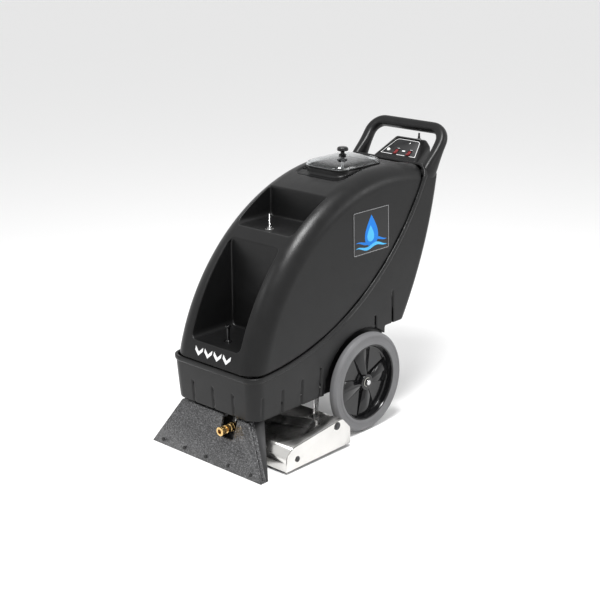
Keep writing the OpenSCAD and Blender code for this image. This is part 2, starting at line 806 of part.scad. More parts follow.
// ---------------------------------------------------------------- control pod
panel_low = [378, 755.1];
panel_top = [440, 796.4];
panel_tilt = atan2(panel_top[1] - panel_low[1], panel_top[0] - panel_low[0]);
panel_len = norm(panel_top - panel_low);
panel_t = 2;
panel_half_w = 72;
panel_slant = 19;
panel_corner_r = 18;
rocker_x = [-14, 36];
rocker_v = 14.5;
light_at = [-47, 20];

// Draws in the panel's own plane: X across, Y up the slope, Z out of the face, from its lower edge
module on_panel() {
    translate([0, panel_low[0], panel_low[1]]) rotate([panel_tilt, 0, 0]) children();
}
// The panel's outline with its upper corners rounded, g proud of it
function panel_side(g) =
    let (
        reach = panel_half_w * cos(panel_slant),
        v = panel_len - panel_corner_r,
        c = [(reach - panel_corner_r - sin(panel_slant) * v) / cos(panel_slant), v]
    )
    concat([[(reach + g + sin(panel_slant) * g) / cos(panel_slant), -g]], arc(c, panel_corner_r + g, panel_slant, 90, 6));
module panel_shape(g = 0, h = 1) {
    linear_extrude(h) polygon(concat(panel_side(g), reversed([for (p = panel_side(g)) [-p[0], p[1]]])));
}
module control_pod() {
    color(black) difference() {
        hull() for (s = [-1, 1]) {
            translate([s * 76, 368, 738]) sphere(12, $fn = 24);
            translate([s * 50, 446, 787]) sphere(14, $fn = 24);
            translate([s * 58, 444, 776]) sphere(16, $fn = 24);
            translate([s * 50, 448, 768]) sphere(14, $fn = 24);
            translate([s * 68, 437, 705]) sphere(12, $fn = 24);
            translate([s * 64, 380, 676]) sphere(11, $fn = 24);
        }
        pillow(-0.3, base_corner_r);
        on_panel() translate([0, 0, -2]) panel_shape(0.2, 60);
        on_panel() for (x = rocker_x) translate([x, rocker_v, -16]) linear_extrude(20) square([15, 25], center = true);
        translate([0, inlet_y - 0.2, inlet_z]) rotate([-90, 0, 0]) cylinder(h = 30, r = 14);
        translate([0, inlet_y + 5.8, inlet_z]) rotate([-90, 0, 0]) cylinder(h = 30, r = 16.4);
    }
}
module panel_plate() {
    color("#101012") on_panel() translate([0, 0, -1.9]) difference() {
        panel_shape(-0.3, panel_t);
        for (x = rocker_x) translate([x, rocker_v, -1]) linear_extrude(10) square([15, 25], center = true);
        translate([light_at[0], light_at[1], -1]) cylinder(h = 10, r = 6.05);
    }
}
module switch_bezels() {
    color("#0a0a0a") on_panel() for (x = rocker_x) translate([x, rocker_v, 0]) difference() {
        union() {
            translate([0, 0, -14]) linear_extrude(14) square([14.6, 24.6], center = true);
            translate([0, 0, 0.2]) linear_extrude(1.4) square([17, 27], center = true);
        }
        translate([0, 0, -12]) linear_extrude(20) square([12, 20.6], center = true);
    }
}
module rocker(x) {
    tilt = 8;
    color("#7a1010") on_panel() translate([x, rocker_v, 0.5]) rotate([-tilt, 0, 0]) difference() {
        translate([-5.6, 0, 0]) rotate([0, 90, 0]) cylinder(h = 11.2, r = 9.7);
        rotate([tilt, 0, 0]) box(-10, 10, -20, 0, 3.2, 20);
        rotate([-tilt, 0, 0]) box(-10, 10, 0, 20, 3.2, 20);
        box(-10, 10, -20, 20, -20, -3);
    }
}
module left_rocker() { rocker(rocker_x[1]); }
module right_rocker() { rocker(rocker_x[0]); }
module indicator_light() {
    color("white") on_panel() translate([light_at[0], light_at[1], -1.8]) union() {
        cylinder(h = 3, r = 6);
        translate([0, 0, 3]) cylinder(h = 2.5, r1 = 5.4, r2 = 3);
    }
}
toggle_at = [34, 443];
toggle_z = 801.3;
toggle_ball_r = 4.4;
module toggle_nut() {
    color("silver") translate([toggle_at[0], toggle_at[1], toggle_z]) difference() {
        cylinder(h = 3, r = 8, $fn = 6);
        translate([0, 0, -1]) cylinder(h = 6, r = 5);
    }
}
module toggle_lever() {
    color("#161616") translate([toggle_at[0], toggle_at[1], toggle_z + toggle_ball_r + 0.2]) union() {
        rod_x(-2.2, 2.2, 0, 0, toggle_ball_r);
        cylinder(h = 13, r1 = 3.8, r2 = 3.2);
        translate([0, 0, 13]) sphere(3.2);
    }
}

// ---------------------------------------------------------------- small fittings
module bay_post() {
    y = -362;
    color("#17171a") translate([0, y, bay_floor_z + 0.2]) union() {
        cylinder(h = 44, r = 5);
        translate([0, 0, 44]) cylinder(h = 6, r = 9);
        cylinder(h = 3, r = 11);
    }
}
module tray_stud() {
    color("silver") translate([0, -192, tray_floor_z + 0.2]) union() {
        difference() {
            cylinder(h = 2, r = 13);
            translate([0, 0, -1]) cylinder(h = 5, r = 4);
        }
        cylinder(h = 45, r = 2.2);
    }
}
badge_y = [-11, 152];
badge_z = [535, 668];
module side_badges() {
    zm = (badge_z[0] + badge_z[1]) / 2;
    draft = atan2(tank_draft, 400);
    color("#1173b8") both_sides()
        translate([body_w(zm) - tank_step + 0.25, (badge_y[0] + badge_y[1]) / 2, zm]) rotate([0, -draft, 0]) rotate([90, 0, 90])
            linear_extrude(1.2) rounded_rect(badge_y[1] - badge_y[0], badge_z[1] - badge_z[0], 6);
}
module rounded_rect(w, h, r) {
    union() {
        square([w - 2 * r, h], center = true);
        square([w, h - 2 * r], center = true);
        for (x = [-1, 1] * (w / 2 - r), y = [-1, 1] * (h / 2 - r)) translate([x, y]) circle(r);
    }
}
inlet_y = 453.8;
inlet_z = 740;
module power_inlet() {
    color("#101010") translate([0, inlet_y, inlet_z]) rotate([-90, 0, 0]) difference() {
        union() {
            cylinder(h = 9, r = 13.8);
            translate([0, 0, 6]) cylinder(h = 4, r = 16);
        }
        translate([0, 0, 2]) cylinder(h = 20, r = 9);
    }
}
drain_at = [0, 352, 520];
module drain_valve() {
    color("#1d1e20") translate(drain_at) rotate([-90, 0, 0]) difference() {
        union() {
            translate([0, 0, 2]) cylinder(h = 50, r = 22);
            translate([0, 0, 20]) box(-30, 30, -30, 30, 0, 12);
        }
        translate([0, 0, -10]) cylinder(h = 80, r = 18);
        translate([0, 0, 23]) box(-25, 25, -60, 26, 0, 6);
    }
}
module drain_gate() {
    color("#8c1a1a") translate(drain_at) rotate([-90, 0, 0]) translate([0, 0, 24]) union() {
        box(-24.4, 24.4, -34, 24, 0, 4);
        box(-14, 14, -44, -34, 0, 4);
    }
}

base_shell();
tank_shell();
handle_loop();
base_pan();
axle();
axle_brackets();
axle_washers();
axle_caps();
left_tyre();
left_rim();
left_bush();
right_tyre();
right_rim();
right_bush();
shoe_front_plate();
shoe_rear_body();
shoe_gasket();
shoe_brackets();
shoe_screws();
suction_duct();
coupler_elbow();
coupler_body();
coupler_sleeve();
deck_cover();
deck_end_plates();
deck_hangers();
deck_pivot_bolts();
brush_core();
brush_bristles();
brush_bearings();
brush_motor();
motor_pulley();
brush_pulley();
drive_belt();
spray_manifold();
spray_jets();
vacuum_motor();
water_pump();
standpipe();
float_cage();
float_ball();
lid_dome();
lid_gasket();
lid_knob();
lid_rod();
lid_bridge();
control_pod();
panel_plate();
switch_bezels();
left_rocker();
right_rocker();
indicator_light();
toggle_nut();
toggle_lever();
bay_post();
tray_stud();
side_badges();
power_inlet();
drain_valve();
drain_gate();
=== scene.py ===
"""Looks of a self-contained carpet extractor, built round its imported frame."""
import json
import logging
import math
from dataclasses import dataclass, field
from enum import Enum
from typing import Callable, Iterable, Optional, Sequence

import bmesh
import bpy
import numpy as np
from mathutils import Matrix, Vector
from mathutils.bvhtree import BVHTree
from mathutils.kdtree import KDTree


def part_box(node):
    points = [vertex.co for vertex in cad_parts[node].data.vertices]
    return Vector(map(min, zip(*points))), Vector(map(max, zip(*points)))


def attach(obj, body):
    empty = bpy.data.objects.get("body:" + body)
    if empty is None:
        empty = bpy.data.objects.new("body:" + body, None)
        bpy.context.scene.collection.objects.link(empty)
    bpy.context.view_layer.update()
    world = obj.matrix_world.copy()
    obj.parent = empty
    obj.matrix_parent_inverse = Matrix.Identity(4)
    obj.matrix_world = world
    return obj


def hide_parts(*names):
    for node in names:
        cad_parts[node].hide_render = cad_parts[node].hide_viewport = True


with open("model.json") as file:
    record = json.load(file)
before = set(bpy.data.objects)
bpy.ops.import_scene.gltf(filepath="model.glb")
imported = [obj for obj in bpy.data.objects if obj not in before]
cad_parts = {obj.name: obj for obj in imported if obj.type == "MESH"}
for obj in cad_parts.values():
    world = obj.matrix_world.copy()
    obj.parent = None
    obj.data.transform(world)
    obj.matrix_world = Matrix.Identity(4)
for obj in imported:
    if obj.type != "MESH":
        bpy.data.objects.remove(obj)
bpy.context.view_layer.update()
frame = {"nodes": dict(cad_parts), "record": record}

LOG = logging.getLogger("extractor")
MM = 0.001

Point = Sequence[float]


# ---------------------------------------------------------------- finishes
class Grain(Enum):
    """The surface textures that the machine's materials have."""

    SMOOTH = "smooth"
    PEBBLED = "pebbled"
    HAMMERED = "hammered"
    BRUSHED = "brushed"
    RUBBER = "rubber"


MADE: dict[str, bpy.types.Material] = {}

# Shared by every finish, in metres where they are lengths.
PATCH_SIZE = 0.09
PATCH_DETAIL = 4.0
SMEAR_SIZE = 0.03
SMEAR_DETAIL = 5.0
GRAIN_DETAIL = 3.0
NOISE_LOW, NOISE_HIGH = 0.3, 0.7
COAT_ROUGHNESS = 0.08
GRAIN_SMOOTHNESS = 0.6
EDGE_LOW, EDGE_HIGH = 0.52, 0.62
WORN_GAIN, WORN_LIFT = 2.2, 0.02
# Painted glint: the noise range of the light specks, their size as a share of the grain, and their colour.
GLINT_LOW, GLINT_HIGH = 0.47, 0.66
GLINT_SHARE = 0.5
GLINT_COLOUR = (0.62, 0.62, 0.64, 1.0)
LEAST_ROUGHNESS = 0.02


@dataclass(frozen=True)
class Finish:
    """One material: its colour, gloss, texture and wear.

    Attributes:
        name: the material's name.
        colour: linear base colour.
        roughness: the mean roughness.
        grain: which surface texture the bump follows.
        grain_size: width of one grain in metres.
        grain_depth: height of the bump in metres.
        mottle: how far the colour varies, from 0 to 1.
        rough_spread: how far the roughness varies either way.
        metallic: 1 for bare metal.
        edge_wear: how much lighter convex edges are.
        coat: weight of a clear glossy coat.
        specular: the shader's specular level.
        transmission: 1 for clear plastic.
        painted_glint: how light the specks of painted glint are, a light colour that stands in for sparkle
            off the coarse grain.
        stretch: scale of the brushing and smears along each axis.
    """

    name: str
    colour: tuple[float, float, float]
    roughness: float
    grain: Grain = Grain.SMOOTH
    grain_size: float = 0.002
    grain_depth: float = 0.0001
    mottle: float = 0.12
    rough_spread: float = 0.08
    metallic: float = 0.0
    edge_wear: float = 0.0
    coat: float = 0.0
    specular: float = 0.5
    transmission: float = 0.0
    painted_glint: float = 0.0
    stretch: tuple[float, float, float] = (1.0, 1.0, 1.0)

    def material(self) -> bpy.types.Material:
        """Returns this finish's material, made once."""
        if self.name in MADE:
            return MADE[self.name]
        mat = bpy.data.materials.new(f"{self.name}_finish")
        MADE[self.name] = mat
        mat.use_nodes = True
        tree = mat.node_tree
        shader = tree.nodes["Principled BSDF"]
        shader.inputs["Metallic"].default_value = self.metallic
        shader.inputs["Specular IOR Level"].default_value = self.specular
        shader.inputs["Coat Weight"].default_value = self.coat
        shader.inputs["Coat Roughness"].default_value = COAT_ROUGHNESS
        shader.inputs["Transmission Weight"].default_value = self.transmission
        place = tree.nodes.new("ShaderNodeTexCoord")
        self._colour(tree, shader, place)
        self._roughness(tree, shader, place)
        self._bump(tree, shader, place)
        return mat

    def _noise(self, tree: bpy.types.NodeTree, place: bpy.types.Node, size: float, detail: float,
               stretch: Point = (1.0, 1.0, 1.0)) -> bpy.types.Node:
        """Adds a noise texture in the object's own metres.

        Args:
            tree: the material's node tree.
            place: the texture coordinate node.
            size: width of one noise cell in metres.
            detail: how many finer octaves it has.
            stretch: scale along each axis.

        Returns:
            The noise node.
        """
        spread = tree.nodes.new("ShaderNodeMapping")
        spread.inputs["Scale"].default_value = stretch
        noise = tree.nodes.new("ShaderNodeTexNoise")
        noise.inputs["Scale"].default_value = 1.0 / size
        noise.inputs["Detail"].default_value = detail
        tree.links.new(place.outputs["Object"], spread.inputs["Vector"])
        tree.links.new(spread.outputs["Vector"], noise.inputs["Vector"])
        return noise

    def _colour(self, tree: bpy.types.NodeTree, shader: bpy.types.Node, place: bpy.types.Node) -> None:
        """Links the mottled colour, with its lighter worn edges, to the shader."""
        patch = self._noise(tree, place, PATCH_SIZE, PATCH_DETAIL)
        ramp = tree.nodes.new("ShaderNodeValToRGB")
        dark = [c * (1.0 - self.mottle) for c in self.colour]
        light = [min(1.0, c * (1.0 + self.mottle)) for c in self.colour]
        ramp.color_ramp.elements[0].position = NOISE_LOW
        ramp.color_ramp.elements[0].color = (*dark, 1.0)
        ramp.color_ramp.elements[1].position = NOISE_HIGH
        ramp.color_ramp.elements[1].color = (*light, 1.0)
        tree.links.new(patch.outputs["Fac"], ramp.inputs["Fac"])
        # Light specks of painted glint stand in for sparkle off the grain.
        if self.painted_glint:
            self._paint_glint_specks(tree, shader, place, ramp)
            return
        if not self.edge_wear:
            tree.links.new(ramp.outputs["Color"], shader.inputs["Base Color"])
            return
        shape = tree.nodes.new("ShaderNodeNewGeometry")
        edge = tree.nodes.new("ShaderNodeMapRange")
        edge.inputs["From Min"].default_value = EDGE_LOW
        edge.inputs["From Max"].default_value = EDGE_HIGH
        edge.inputs["To Max"].default_value = self.edge_wear
        mix = tree.nodes.new("ShaderNodeMix")
        mix.data_type = "RGBA"
        worn = [min(1.0, c * WORN_GAIN + WORN_LIFT) for c in self.colour]
        mix.inputs["B"].default_value = (*worn, 1.0)
        tree.links.new(shape.outputs["Pointiness"], edge.inputs["Value"])
        tree.links.new(edge.outputs["Result"], mix.inputs["Factor"])
        tree.links.new(ramp.outputs["Color"], mix.inputs["A"])
        tree.links.new(mix.outputs["Result"], shader.inputs["Base Color"])

    def _paint_glint_specks(self, tree: bpy.types.NodeTree, shader: bpy.types.Node, place: bpy.types.Node,
                under: bpy.types.Node) -> None:
        """Links specks of painted glint, a light colour that stands in for sparkle off the grain, over the
        mottled colour to the shader.
        """
        grit = self._noise(tree, place, self.grain_size * GLINT_SHARE, GRAIN_DETAIL)
        lift = tree.nodes.new("ShaderNodeMapRange")
        lift.inputs["From Min"].default_value = GLINT_LOW
        lift.inputs["From Max"].default_value = GLINT_HIGH
        lift.inputs["To Max"].default_value = self.painted_glint
        mix = tree.nodes.new("ShaderNodeMix")
        mix.data_type = "RGBA"
        mix.inputs["B"].default_value = GLINT_COLOUR
        tree.links.new(grit.outputs["Fac"], lift.inputs["Value"])
        tree.links.new(lift.outputs["Result"], mix.inputs["Factor"])
        tree.links.new(under.outputs["Color"], mix.inputs["A"])
        tree.links.new(mix.outputs["Result"], shader.inputs["Base Color"])

    def _roughness(self, tree: bpy.types.NodeTree, shader: bpy.types.Node, place: bpy.types.Node) -> None:
        """Links a roughness that varies over the surface, as handling leaves it."""
        smear = self._noise(tree, place, SMEAR_SIZE, SMEAR_DETAIL, self.stretch)
        spread = tree.nodes.new("ShaderNodeMapRange")
        spread.inputs["From Min"].default_value = NOISE_LOW
        spread.inputs["From Max"].default_value = NOISE_HIGH
        spread.inputs["To Min"].default_value = max(LEAST_ROUGHNESS, self.roughness - self.rough_spread)
        spread.inputs["To Max"].default_value = min(1.0, self.roughness + self.rough_spread)
        tree.links.new(smear.outputs["Fac"], spread.inputs["Value"])
        tree.links.new(spread.outputs["Result"], shader.inputs["Roughness"])

    def _bump(self, tree: bpy.types.NodeTree, shader: bpy.types.Node, place: bpy.types.Node) -> None:
        """Links the grain's bump to the shader's normal."""
        bump = tree.nodes.new("ShaderNodeBump")
        bump.inputs["Distance"].default_value = self.grain_depth
        bump.inputs["Strength"].default_value = 1.0
        if self.grain in (Grain.PEBBLED, Grain.HAMMERED):
            cells = tree.nodes.new("ShaderNodeTexVoronoi")
            cells.feature = "SMOOTH_F1"
            cells.inputs["Scale"].default_value = 1.0 / self.grain_size
            cells.inputs["Smoothness"].default_value = GRAIN_SMOOTHNESS
            tree.links.new(place.outputs["Object"], cells.inputs["Vector"])
            tree.links.new(cells.outputs["Distance"], bump.inputs["Height"])
            bump.invert = True
        else:
            grit = self._noise(tree, place, self.grain_size, GRAIN_DETAIL, self.stretch)
            tree.links.new(grit.outputs["Fac"], bump.inputs["Height"])
        tree.links.new(bump.outputs["Normal"], shader.inputs["Normal"])


BLACK_SHELL = Finish(
    "black_shell", colour=(0.0062, 0.0062, 0.0064), roughness=0.34, grain=Grain.PEBBLED,
    grain_size=0.0022, grain_depth=0.00012, mottle=0.12, rough_spread=0.06, edge_wear=0.35,
    specular=0.27,
)
# Hammered black powder coat; its light specks are painted glint.
BLACK_POWDER = Finish(
    "black_powder", colour=(0.016, 0.016, 0.017), roughness=0.3, grain=Grain.HAMMERED,
    grain_size=0.0066, grain_depth=0.0011, mottle=0.2, rough_spread=0.08, specular=0.7, painted_glint=0.2,
)
GREY_TYRE = Finish(
    "grey_tyre", colour=(0.14, 0.14, 0.144), roughness=0.6, grain=Grain.RUBBER, grain_size=0.0012,
    grain_depth=0.00005, mottle=0.08, rough_spread=0.08,
)
GLOSS_BLACK = Finish(
    "gloss_black", colour=(0.005, 0.005, 0.0055), roughness=0.14, grain=Grain.SMOOTH,
    grain_size=0.004, grain_depth=0.00001, mottle=0.1, rough_spread=0.05, coat=0.1, specular=0.35,
)
STAINLESS = Finish(
    "stainless", colour=(0.66, 0.65, 0.63), roughness=0.2, grain=Grain.BRUSHED, grain_size=0.0006,
    grain_depth=0.00001, mottle=0.06, rough_spread=0.07, metallic=1.0, stretch=(0.05, 1.0, 1.0),
)
ZINC = Finish(
    "zinc", colour=(0.6, 0.6, 0.6), roughness=0.28, grain=Grain.SMOOTH, grain_size=0.003,
    grain_depth=0.00003, mottle=0.12, rough_spread=0.1, metallic=1.0,
)
BRASS = Finish(
    "brass", colour=(0.78, 0.53, 0.22), roughness=0.26, grain=Grain.SMOOTH, grain_size=0.002,
    grain_depth=0.00001, mottle=0.14, rough_spread=0.08, metallic=1.0,
)
BLACK_RUBBER = Finish(
    "black_rubber", colour=(0.009, 0.009, 0.009), roughness=0.55, grain=Grain.RUBBER,
    grain_size=0.0012, grain_depth=0.00004, mottle=0.1, rough_spread=0.08,
)
PVC = Finish(
    "pvc", colour=(0.6, 0.59, 0.54), roughness=0.45, grain=Grain.SMOOTH, grain_size=0.003,
    grain_depth=0.00003, mottle=0.05, rough_spread=0.06,
)
SWITCH_RED = Finish(
    "switch_red", colour=(0.16, 0.006, 0.008), roughness=0.22, grain=Grain.SMOOTH, grain_size=0.002,
    grain_depth=0.00001, mottle=0.1, rough_spread=0.05, coat=0.3,
)
BRISTLE_BLUE = Finish(
    "bristle_blue", colour=(0.04, 0.11, 0.34), roughness=0.5, grain=Grain.RUBBER, grain_size=0.0006,
    grain_depth=0.0001, mottle=0.2, rough_spread=0.08,
)
MOTOR_GREY = Finish(
    "motor_grey", colour=(0.05, 0.05, 0.055), roughness=0.4, grain=Grain.HAMMERED, grain_size=0.003,
    grain_depth=0.0001, mottle=0.1, rough_spread=0.08,
)
LAMP_WHITE = Finish(
    "lamp_white", colour=(0.75, 0.75, 0.72), roughness=0.3, grain=Grain.SMOOTH, grain_size=0.002,
    grain_depth=0.00001, mottle=0.04, rough_spread=0.05, coat=0.3,
)
BADGE_BLUE = Finish(
    "badge_blue", colour=(0.004, 0.17, 0.6), roughness=0.35, grain=Grain.SMOOTH, grain_size=0.004,
    grain_depth=0.00001, mottle=0.1, rough_spread=0.05, specular=0.25,
)
CLEAR = Finish(
    "clear", colour=(0.9, 0.92, 0.93), roughness=0.05, grain=Grain.SMOOTH, grain_size=0.02,
    grain_depth=0.00001, mottle=0.02, rough_spread=0.03, transmission=1.0,
)
SATIN_BLACK = Finish(
    "satin_black", colour=(0.016, 0.016, 0.017), roughness=0.34, grain=Grain.PEBBLED,
    grain_size=0.0018, grain_depth=0.00004, mottle=0.12, rough_spread=0.08,
)
PANEL_BLACK = Finish(
    "panel_black", colour=(0.012, 0.012, 0.013), roughness=0.42, grain=Grain.PEBBLED,
    grain_size=0.0009, grain_depth=0.00005, mottle=0.15, rough_spread=0.08,
)
PRINT_WHITE = Finish(
    "print_white", colour=(0.8, 0.8, 0.8), roughness=0.45, grain=Grain.SMOOTH, grain_size=0.002,
    grain_depth=0.00001, mottle=0.04, rough_spread=0.06,
)
LINE_GREY = Finish(
    "line_grey", colour=(0.4, 0.4, 0.41), roughness=0.4, grain=Grain.SMOOTH, grain_size=0.002,
    grain_depth=0.00001, mottle=0.08, rough_spread=0.06,
)
BADGE_SKY = Finish(
    "badge_sky", colour=(0.05, 0.42, 0.8), roughness=0.3, grain=Grain.SMOOTH, grain_size=0.004,
    grain_depth=0.00001, mottle=0.1, rough_spread=0.05,
)
DARK_STEEL = Finish(
    "dark_steel", colour=(0.05, 0.05, 0.052), roughness=0.35, grain=Grain.SMOOTH, grain_size=0.002,
    grain_depth=0.00002, mottle=0.15, rough_spread=0.1, metallic=0.7,
)

SLOT_FINISHES = (
    BLACK_SHELL, BLACK_POWDER, GREY_TYRE, GLOSS_BLACK, STAINLESS, ZINC, BRASS, BLACK_RUBBER,
    PVC, SWITCH_RED, BRISTLE_BLUE, MOTOR_GREY, LAMP_WHITE, BADGE_BLUE, CLEAR,
)
BY_SLOT = {finish.name: finish for finish in SLOT_FINISHES}


def dress(piece: bpy.types.Object, finish: Finish) -> None:
    """Gives a piece one finish.

    Args:
        piece: the object.
        finish: its finish.
    """
    piece.data.materials.clear()
    piece.data.materials.append(finish.material())


# ---------------------------------------------------------------- mesh workshop
def solid(name: str, points: Iterable[Point], faces: Iterable[Sequence[int]],
          finish: "Finish") -> bpy.types.Object:
    """Makes an object from points in millimetres.

    Args:
        name: the object's name.
        points: its points, in millimetres in the row frame.
        faces: lists of point numbers, facing outwards.
        finish: what it is made of.

    Returns:
        The new object, linked to the scene.
    """
    mesh = bpy.data.meshes.new(name)
    mesh.from_pydata([tuple(float(c) * MM for c in p) for p in points], [],
                     [tuple(int(i) for i in f) for f in faces])
    mesh.validate()
    piece = bpy.data.objects.new(name, mesh)
    bpy.context.scene.collection.objects.link(piece)
    dress(piece, finish)
    return piece


def settle(piece: bpy.types.Object) -> bpy.types.Object:
    """Turns a piece's modifiers into mesh and returns it."""
    bpy.context.view_layer.update()
    view = piece.evaluated_get(bpy.context.evaluated_depsgraph_get())
    mesh = bpy.data.meshes.new_from_object(view)
    piece.modifiers.clear()
    old = piece.data
    piece.data = mesh
    bpy.data.meshes.remove(old)
    return piece


def discard(piece: bpy.types.Object) -> None:
    """Removes a cutter or a helper with its mesh."""
    mesh = piece.data
    bpy.data.objects.remove(piece)
    bpy.data.meshes.remove(mesh)


def combine(piece: bpy.types.Object, others: Iterable[bpy.types.Object],
            how: str = "DIFFERENCE") -> bpy.types.Object:
    """Cuts, joins or crosses a piece with others, which are used up.

    Args:
        piece: the piece that is changed.
        others: the solids it is combined with, one after another.
        how: DIFFERENCE, UNION or INTERSECT.

    Returns:
        The piece.
    """
    for other in others:
        step = piece.modifiers.new("combine", "BOOLEAN")
        step.operation = how
        step.solver = "MANIFOLD"
        step.object = other
        settle(piece)
        discard(other)
    return piece


def chamfer(piece: bpy.types.Object, width: float, segments: int = 2,
            angle: float = 35.0) -> bpy.types.Object:
    """Rounds a piece's sharp edges by a radius in millimetres and shades it smooth.

    Args:
        piece: the piece.
        width: radius of the rounding in millimetres.
        segments: facets across it.
        angle: edges flatter than this many degrees are left.

    Returns:
        The piece.
    """
    step = piece.modifiers.new("chamfer", "BEVEL")
    step.width = width * MM
    step.segments = segments
    step.limit_method = "ANGLE"
    step.angle_limit = math.radians(angle)
    step.harden_normals = True
    return shade(settle(piece), 50.0)


def shade(piece: bpy.types.Object, angle: float = 35.0) -> bpy.types.Object:
    """Shades a piece smooth but for edges sharper than so many degrees, and returns it."""
    piece.data.shade_smooth()
    piece.data.set_sharp_from_angle(angle=math.radians(angle))
    return piece


def join(pieces: Sequence[bpy.types.Object], name: str) -> bpy.types.Object:
    """Makes several pieces into one that keeps their materials.

    Args:
        pieces: the pieces, which are used up.
        name: the new piece's name.

    Returns:
        The joined piece.
    """
    first = pieces[0]
    with bpy.context.temp_override(active_object=first, object=first, selected_objects=list(pieces),
                                   selected_editable_objects=list(pieces)):
        bpy.ops.object.join()
    first.name = name
    return first


def install(piece: bpy.types.Object, nodes: Sequence[str], body: str = "") -> bpy.types.Object:
    """Puts a finished piece in the place of its CAD nodes.

    Args:
        piece: the piece.
        nodes: the CAD nodes that it stands for.
        body: the CAD body it moves with, if no node says so.

    Returns:
        The piece.
    """
    piece.name = piece.name.replace(" ", "_") + "_piece"
    if nodes:
        body = next(b for b, names in frame["record"]["behaviour"]["bodies"].items() if nodes[0] in names)
        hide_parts(*nodes)
    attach(piece, body)
    LOG.info("%s: %d faces for %s", piece.name, len(piece.data.polygons), ", ".join(nodes) or "a detail")
    return piece


def prism(outline: Sequence[Point], axis: str, low: float, high: float, finish: "Finish",
          name: str = "prism") -> bpy.types.Object:
    """Extrudes a flat outline.

    Args:
        outline: points in the plane across the axis: YZ for X, XZ for Y and XY for Z, anticlockwise.
        axis: X, Y or Z.
        low: where it starts along the axis, in millimetres.
        high: where it ends.
        finish: what it is made of.
        name: the object's name.

    Returns:
        The solid.
    """
    lift: dict[str, Callable[[Point, float], Point]] = {
        "X": lambda p, t: (t, p[0], p[1]),
        "Y": lambda p, t: (p[0], t, p[1]),
        "Z": lambda p, t: (p[0], p[1], t),
    }
    n = len(outline)
    points = [lift[axis](p, low) for p in outline] + [lift[axis](p, high) for p in outline]
    faces = [tuple(range(n))[::-1], tuple(range(n, 2 * n))]
    faces += [(i, (i + 1) % n, n + (i + 1) % n, n + i) for i in range(n)]
    piece = solid(name, points, faces, finish)
    repair(piece)
    return piece


def repair(piece: bpy.types.Object) -> None:
    """Turns a closed piece's faces outwards."""
    work = bmesh.new()
    work.from_mesh(piece.data)
    bmesh.ops.remove_doubles(work, verts=work.verts, dist=1e-7)
    bmesh.ops.recalc_face_normals(work, faces=work.faces)
    work.to_mesh(piece.data)
    work.free()


def rounded_rect(cx: float, cy: float, hw: float, hh: float, r: float, n: int = 8) -> list[Point]:
    """Returns a rounded rectangle's points about a centre, anticlockwise."""
    out = []
    for sx, sy, start in ((1, 1, 0), (-1, 1, 90), (-1, -1, 180), (1, -1, 270)):
        for i in range(n + 1):
            a = math.radians(start + 90 * i / n)
            out.append((cx + sx * (hw - r) + r * math.cos(a), cy + sy * (hh - r) + r * math.sin(a)))
    return out


def lathe(profile: Sequence[Point], centre: Point, axis: str, finish: "Finish", name: str = "turned",
          steps: int = 64, ripple: Optional[Callable[[float, float], float]] = None) -> bpy.types.Object:
    """Turns a closed profile about an axis.

    Args:
        profile: (radius, distance along the axis) points in millimetres; a radius of 0 closes an end.
        centre: the point that distances are measured from, in millimetres.
        axis: X, -X, Y, -Y, Z or -Z.
        finish: what it is made of.
        name: the object's name.
        steps: facets round the axis.
        ripple: scales a radius by its angle and distance, if given.

    Returns:
        The turned piece.
    """
    turn = {
        "Z": Matrix.Identity(3),
        "-Z": Matrix.Rotation(math.pi, 3, "X"),
        "X": Matrix.Rotation(math.pi / 2, 3, "Y"),
        "-X": Matrix.Rotation(-math.pi / 2, 3, "Y"),
        "Y": Matrix.Rotation(-math.pi / 2, 3, "X"),
        "-Y": Matrix.Rotation(math.pi / 2, 3, "X"),
    }[axis]
    n = len(profile)
    points = []
    for i in range(steps):
        a = 2 * math.pi * i / steps
        for r, h in profile:
            grown = r * (ripple(a, h) if ripple else 1.0)
            points.append(Vector(centre) + turn @ Vector((grown * math.cos(a), grown * math.sin(a), h)))
    faces = [(i * n + j, ((i + 1) % steps) * n + j, ((i + 1) % steps) * n + (j + 1) % n, i * n + (j + 1) % n)
             for i in range(steps) for j in range(n)]
    piece = solid(name, points, faces, finish)
    work = bmesh.new()
    work.from_mesh(piece.data)
    bmesh.ops.remove_doubles(work, verts=work.verts, dist=1e-6)
    bmesh.ops.dissolve_degenerate(work, edges=work.edges, dist=1e-6)
    bmesh.ops.recalc_face_normals(work, faces=work.faces)
    work.to_mesh(piece.data)
    work.free()
    return shade(piece, 28.0)


def fillet(profile: Sequence[Point], radii: Sequence[float], n: int = 4) -> list[Point]:
    """Rounds the corners of an open or closed profile.

    Args:
        profile: the profile's corners.
        radii: the rounding at each corner, 0 for none.
        n: facets across each rounding.

    Returns:
        The rounded profile.
    """
    out: list[Point] = []
    count = len(profile)
    for i, (p, r) in enumerate(zip(profile, radii)):
        here = np.array(p, float)
        if r <= 0:
            out.append(tuple(here))
            continue
        before = np.array(profile[(i - 1) % count], float) - here
        after = np.array(profile[(i + 1) % count], float) - here
        reach = min(r, np.linalg.norm(before) * 0.48, np.linalg.norm(after) * 0.48)
        a = here + before / np.linalg.norm(before) * reach
        b = here + after / np.linalg.norm(after) * reach
        for k in range(n + 1):
            t = k / n
            out.append(tuple((1 - t) ** 2 * a + 2 * t * (1 - t) * here + t * t * b))
    return out


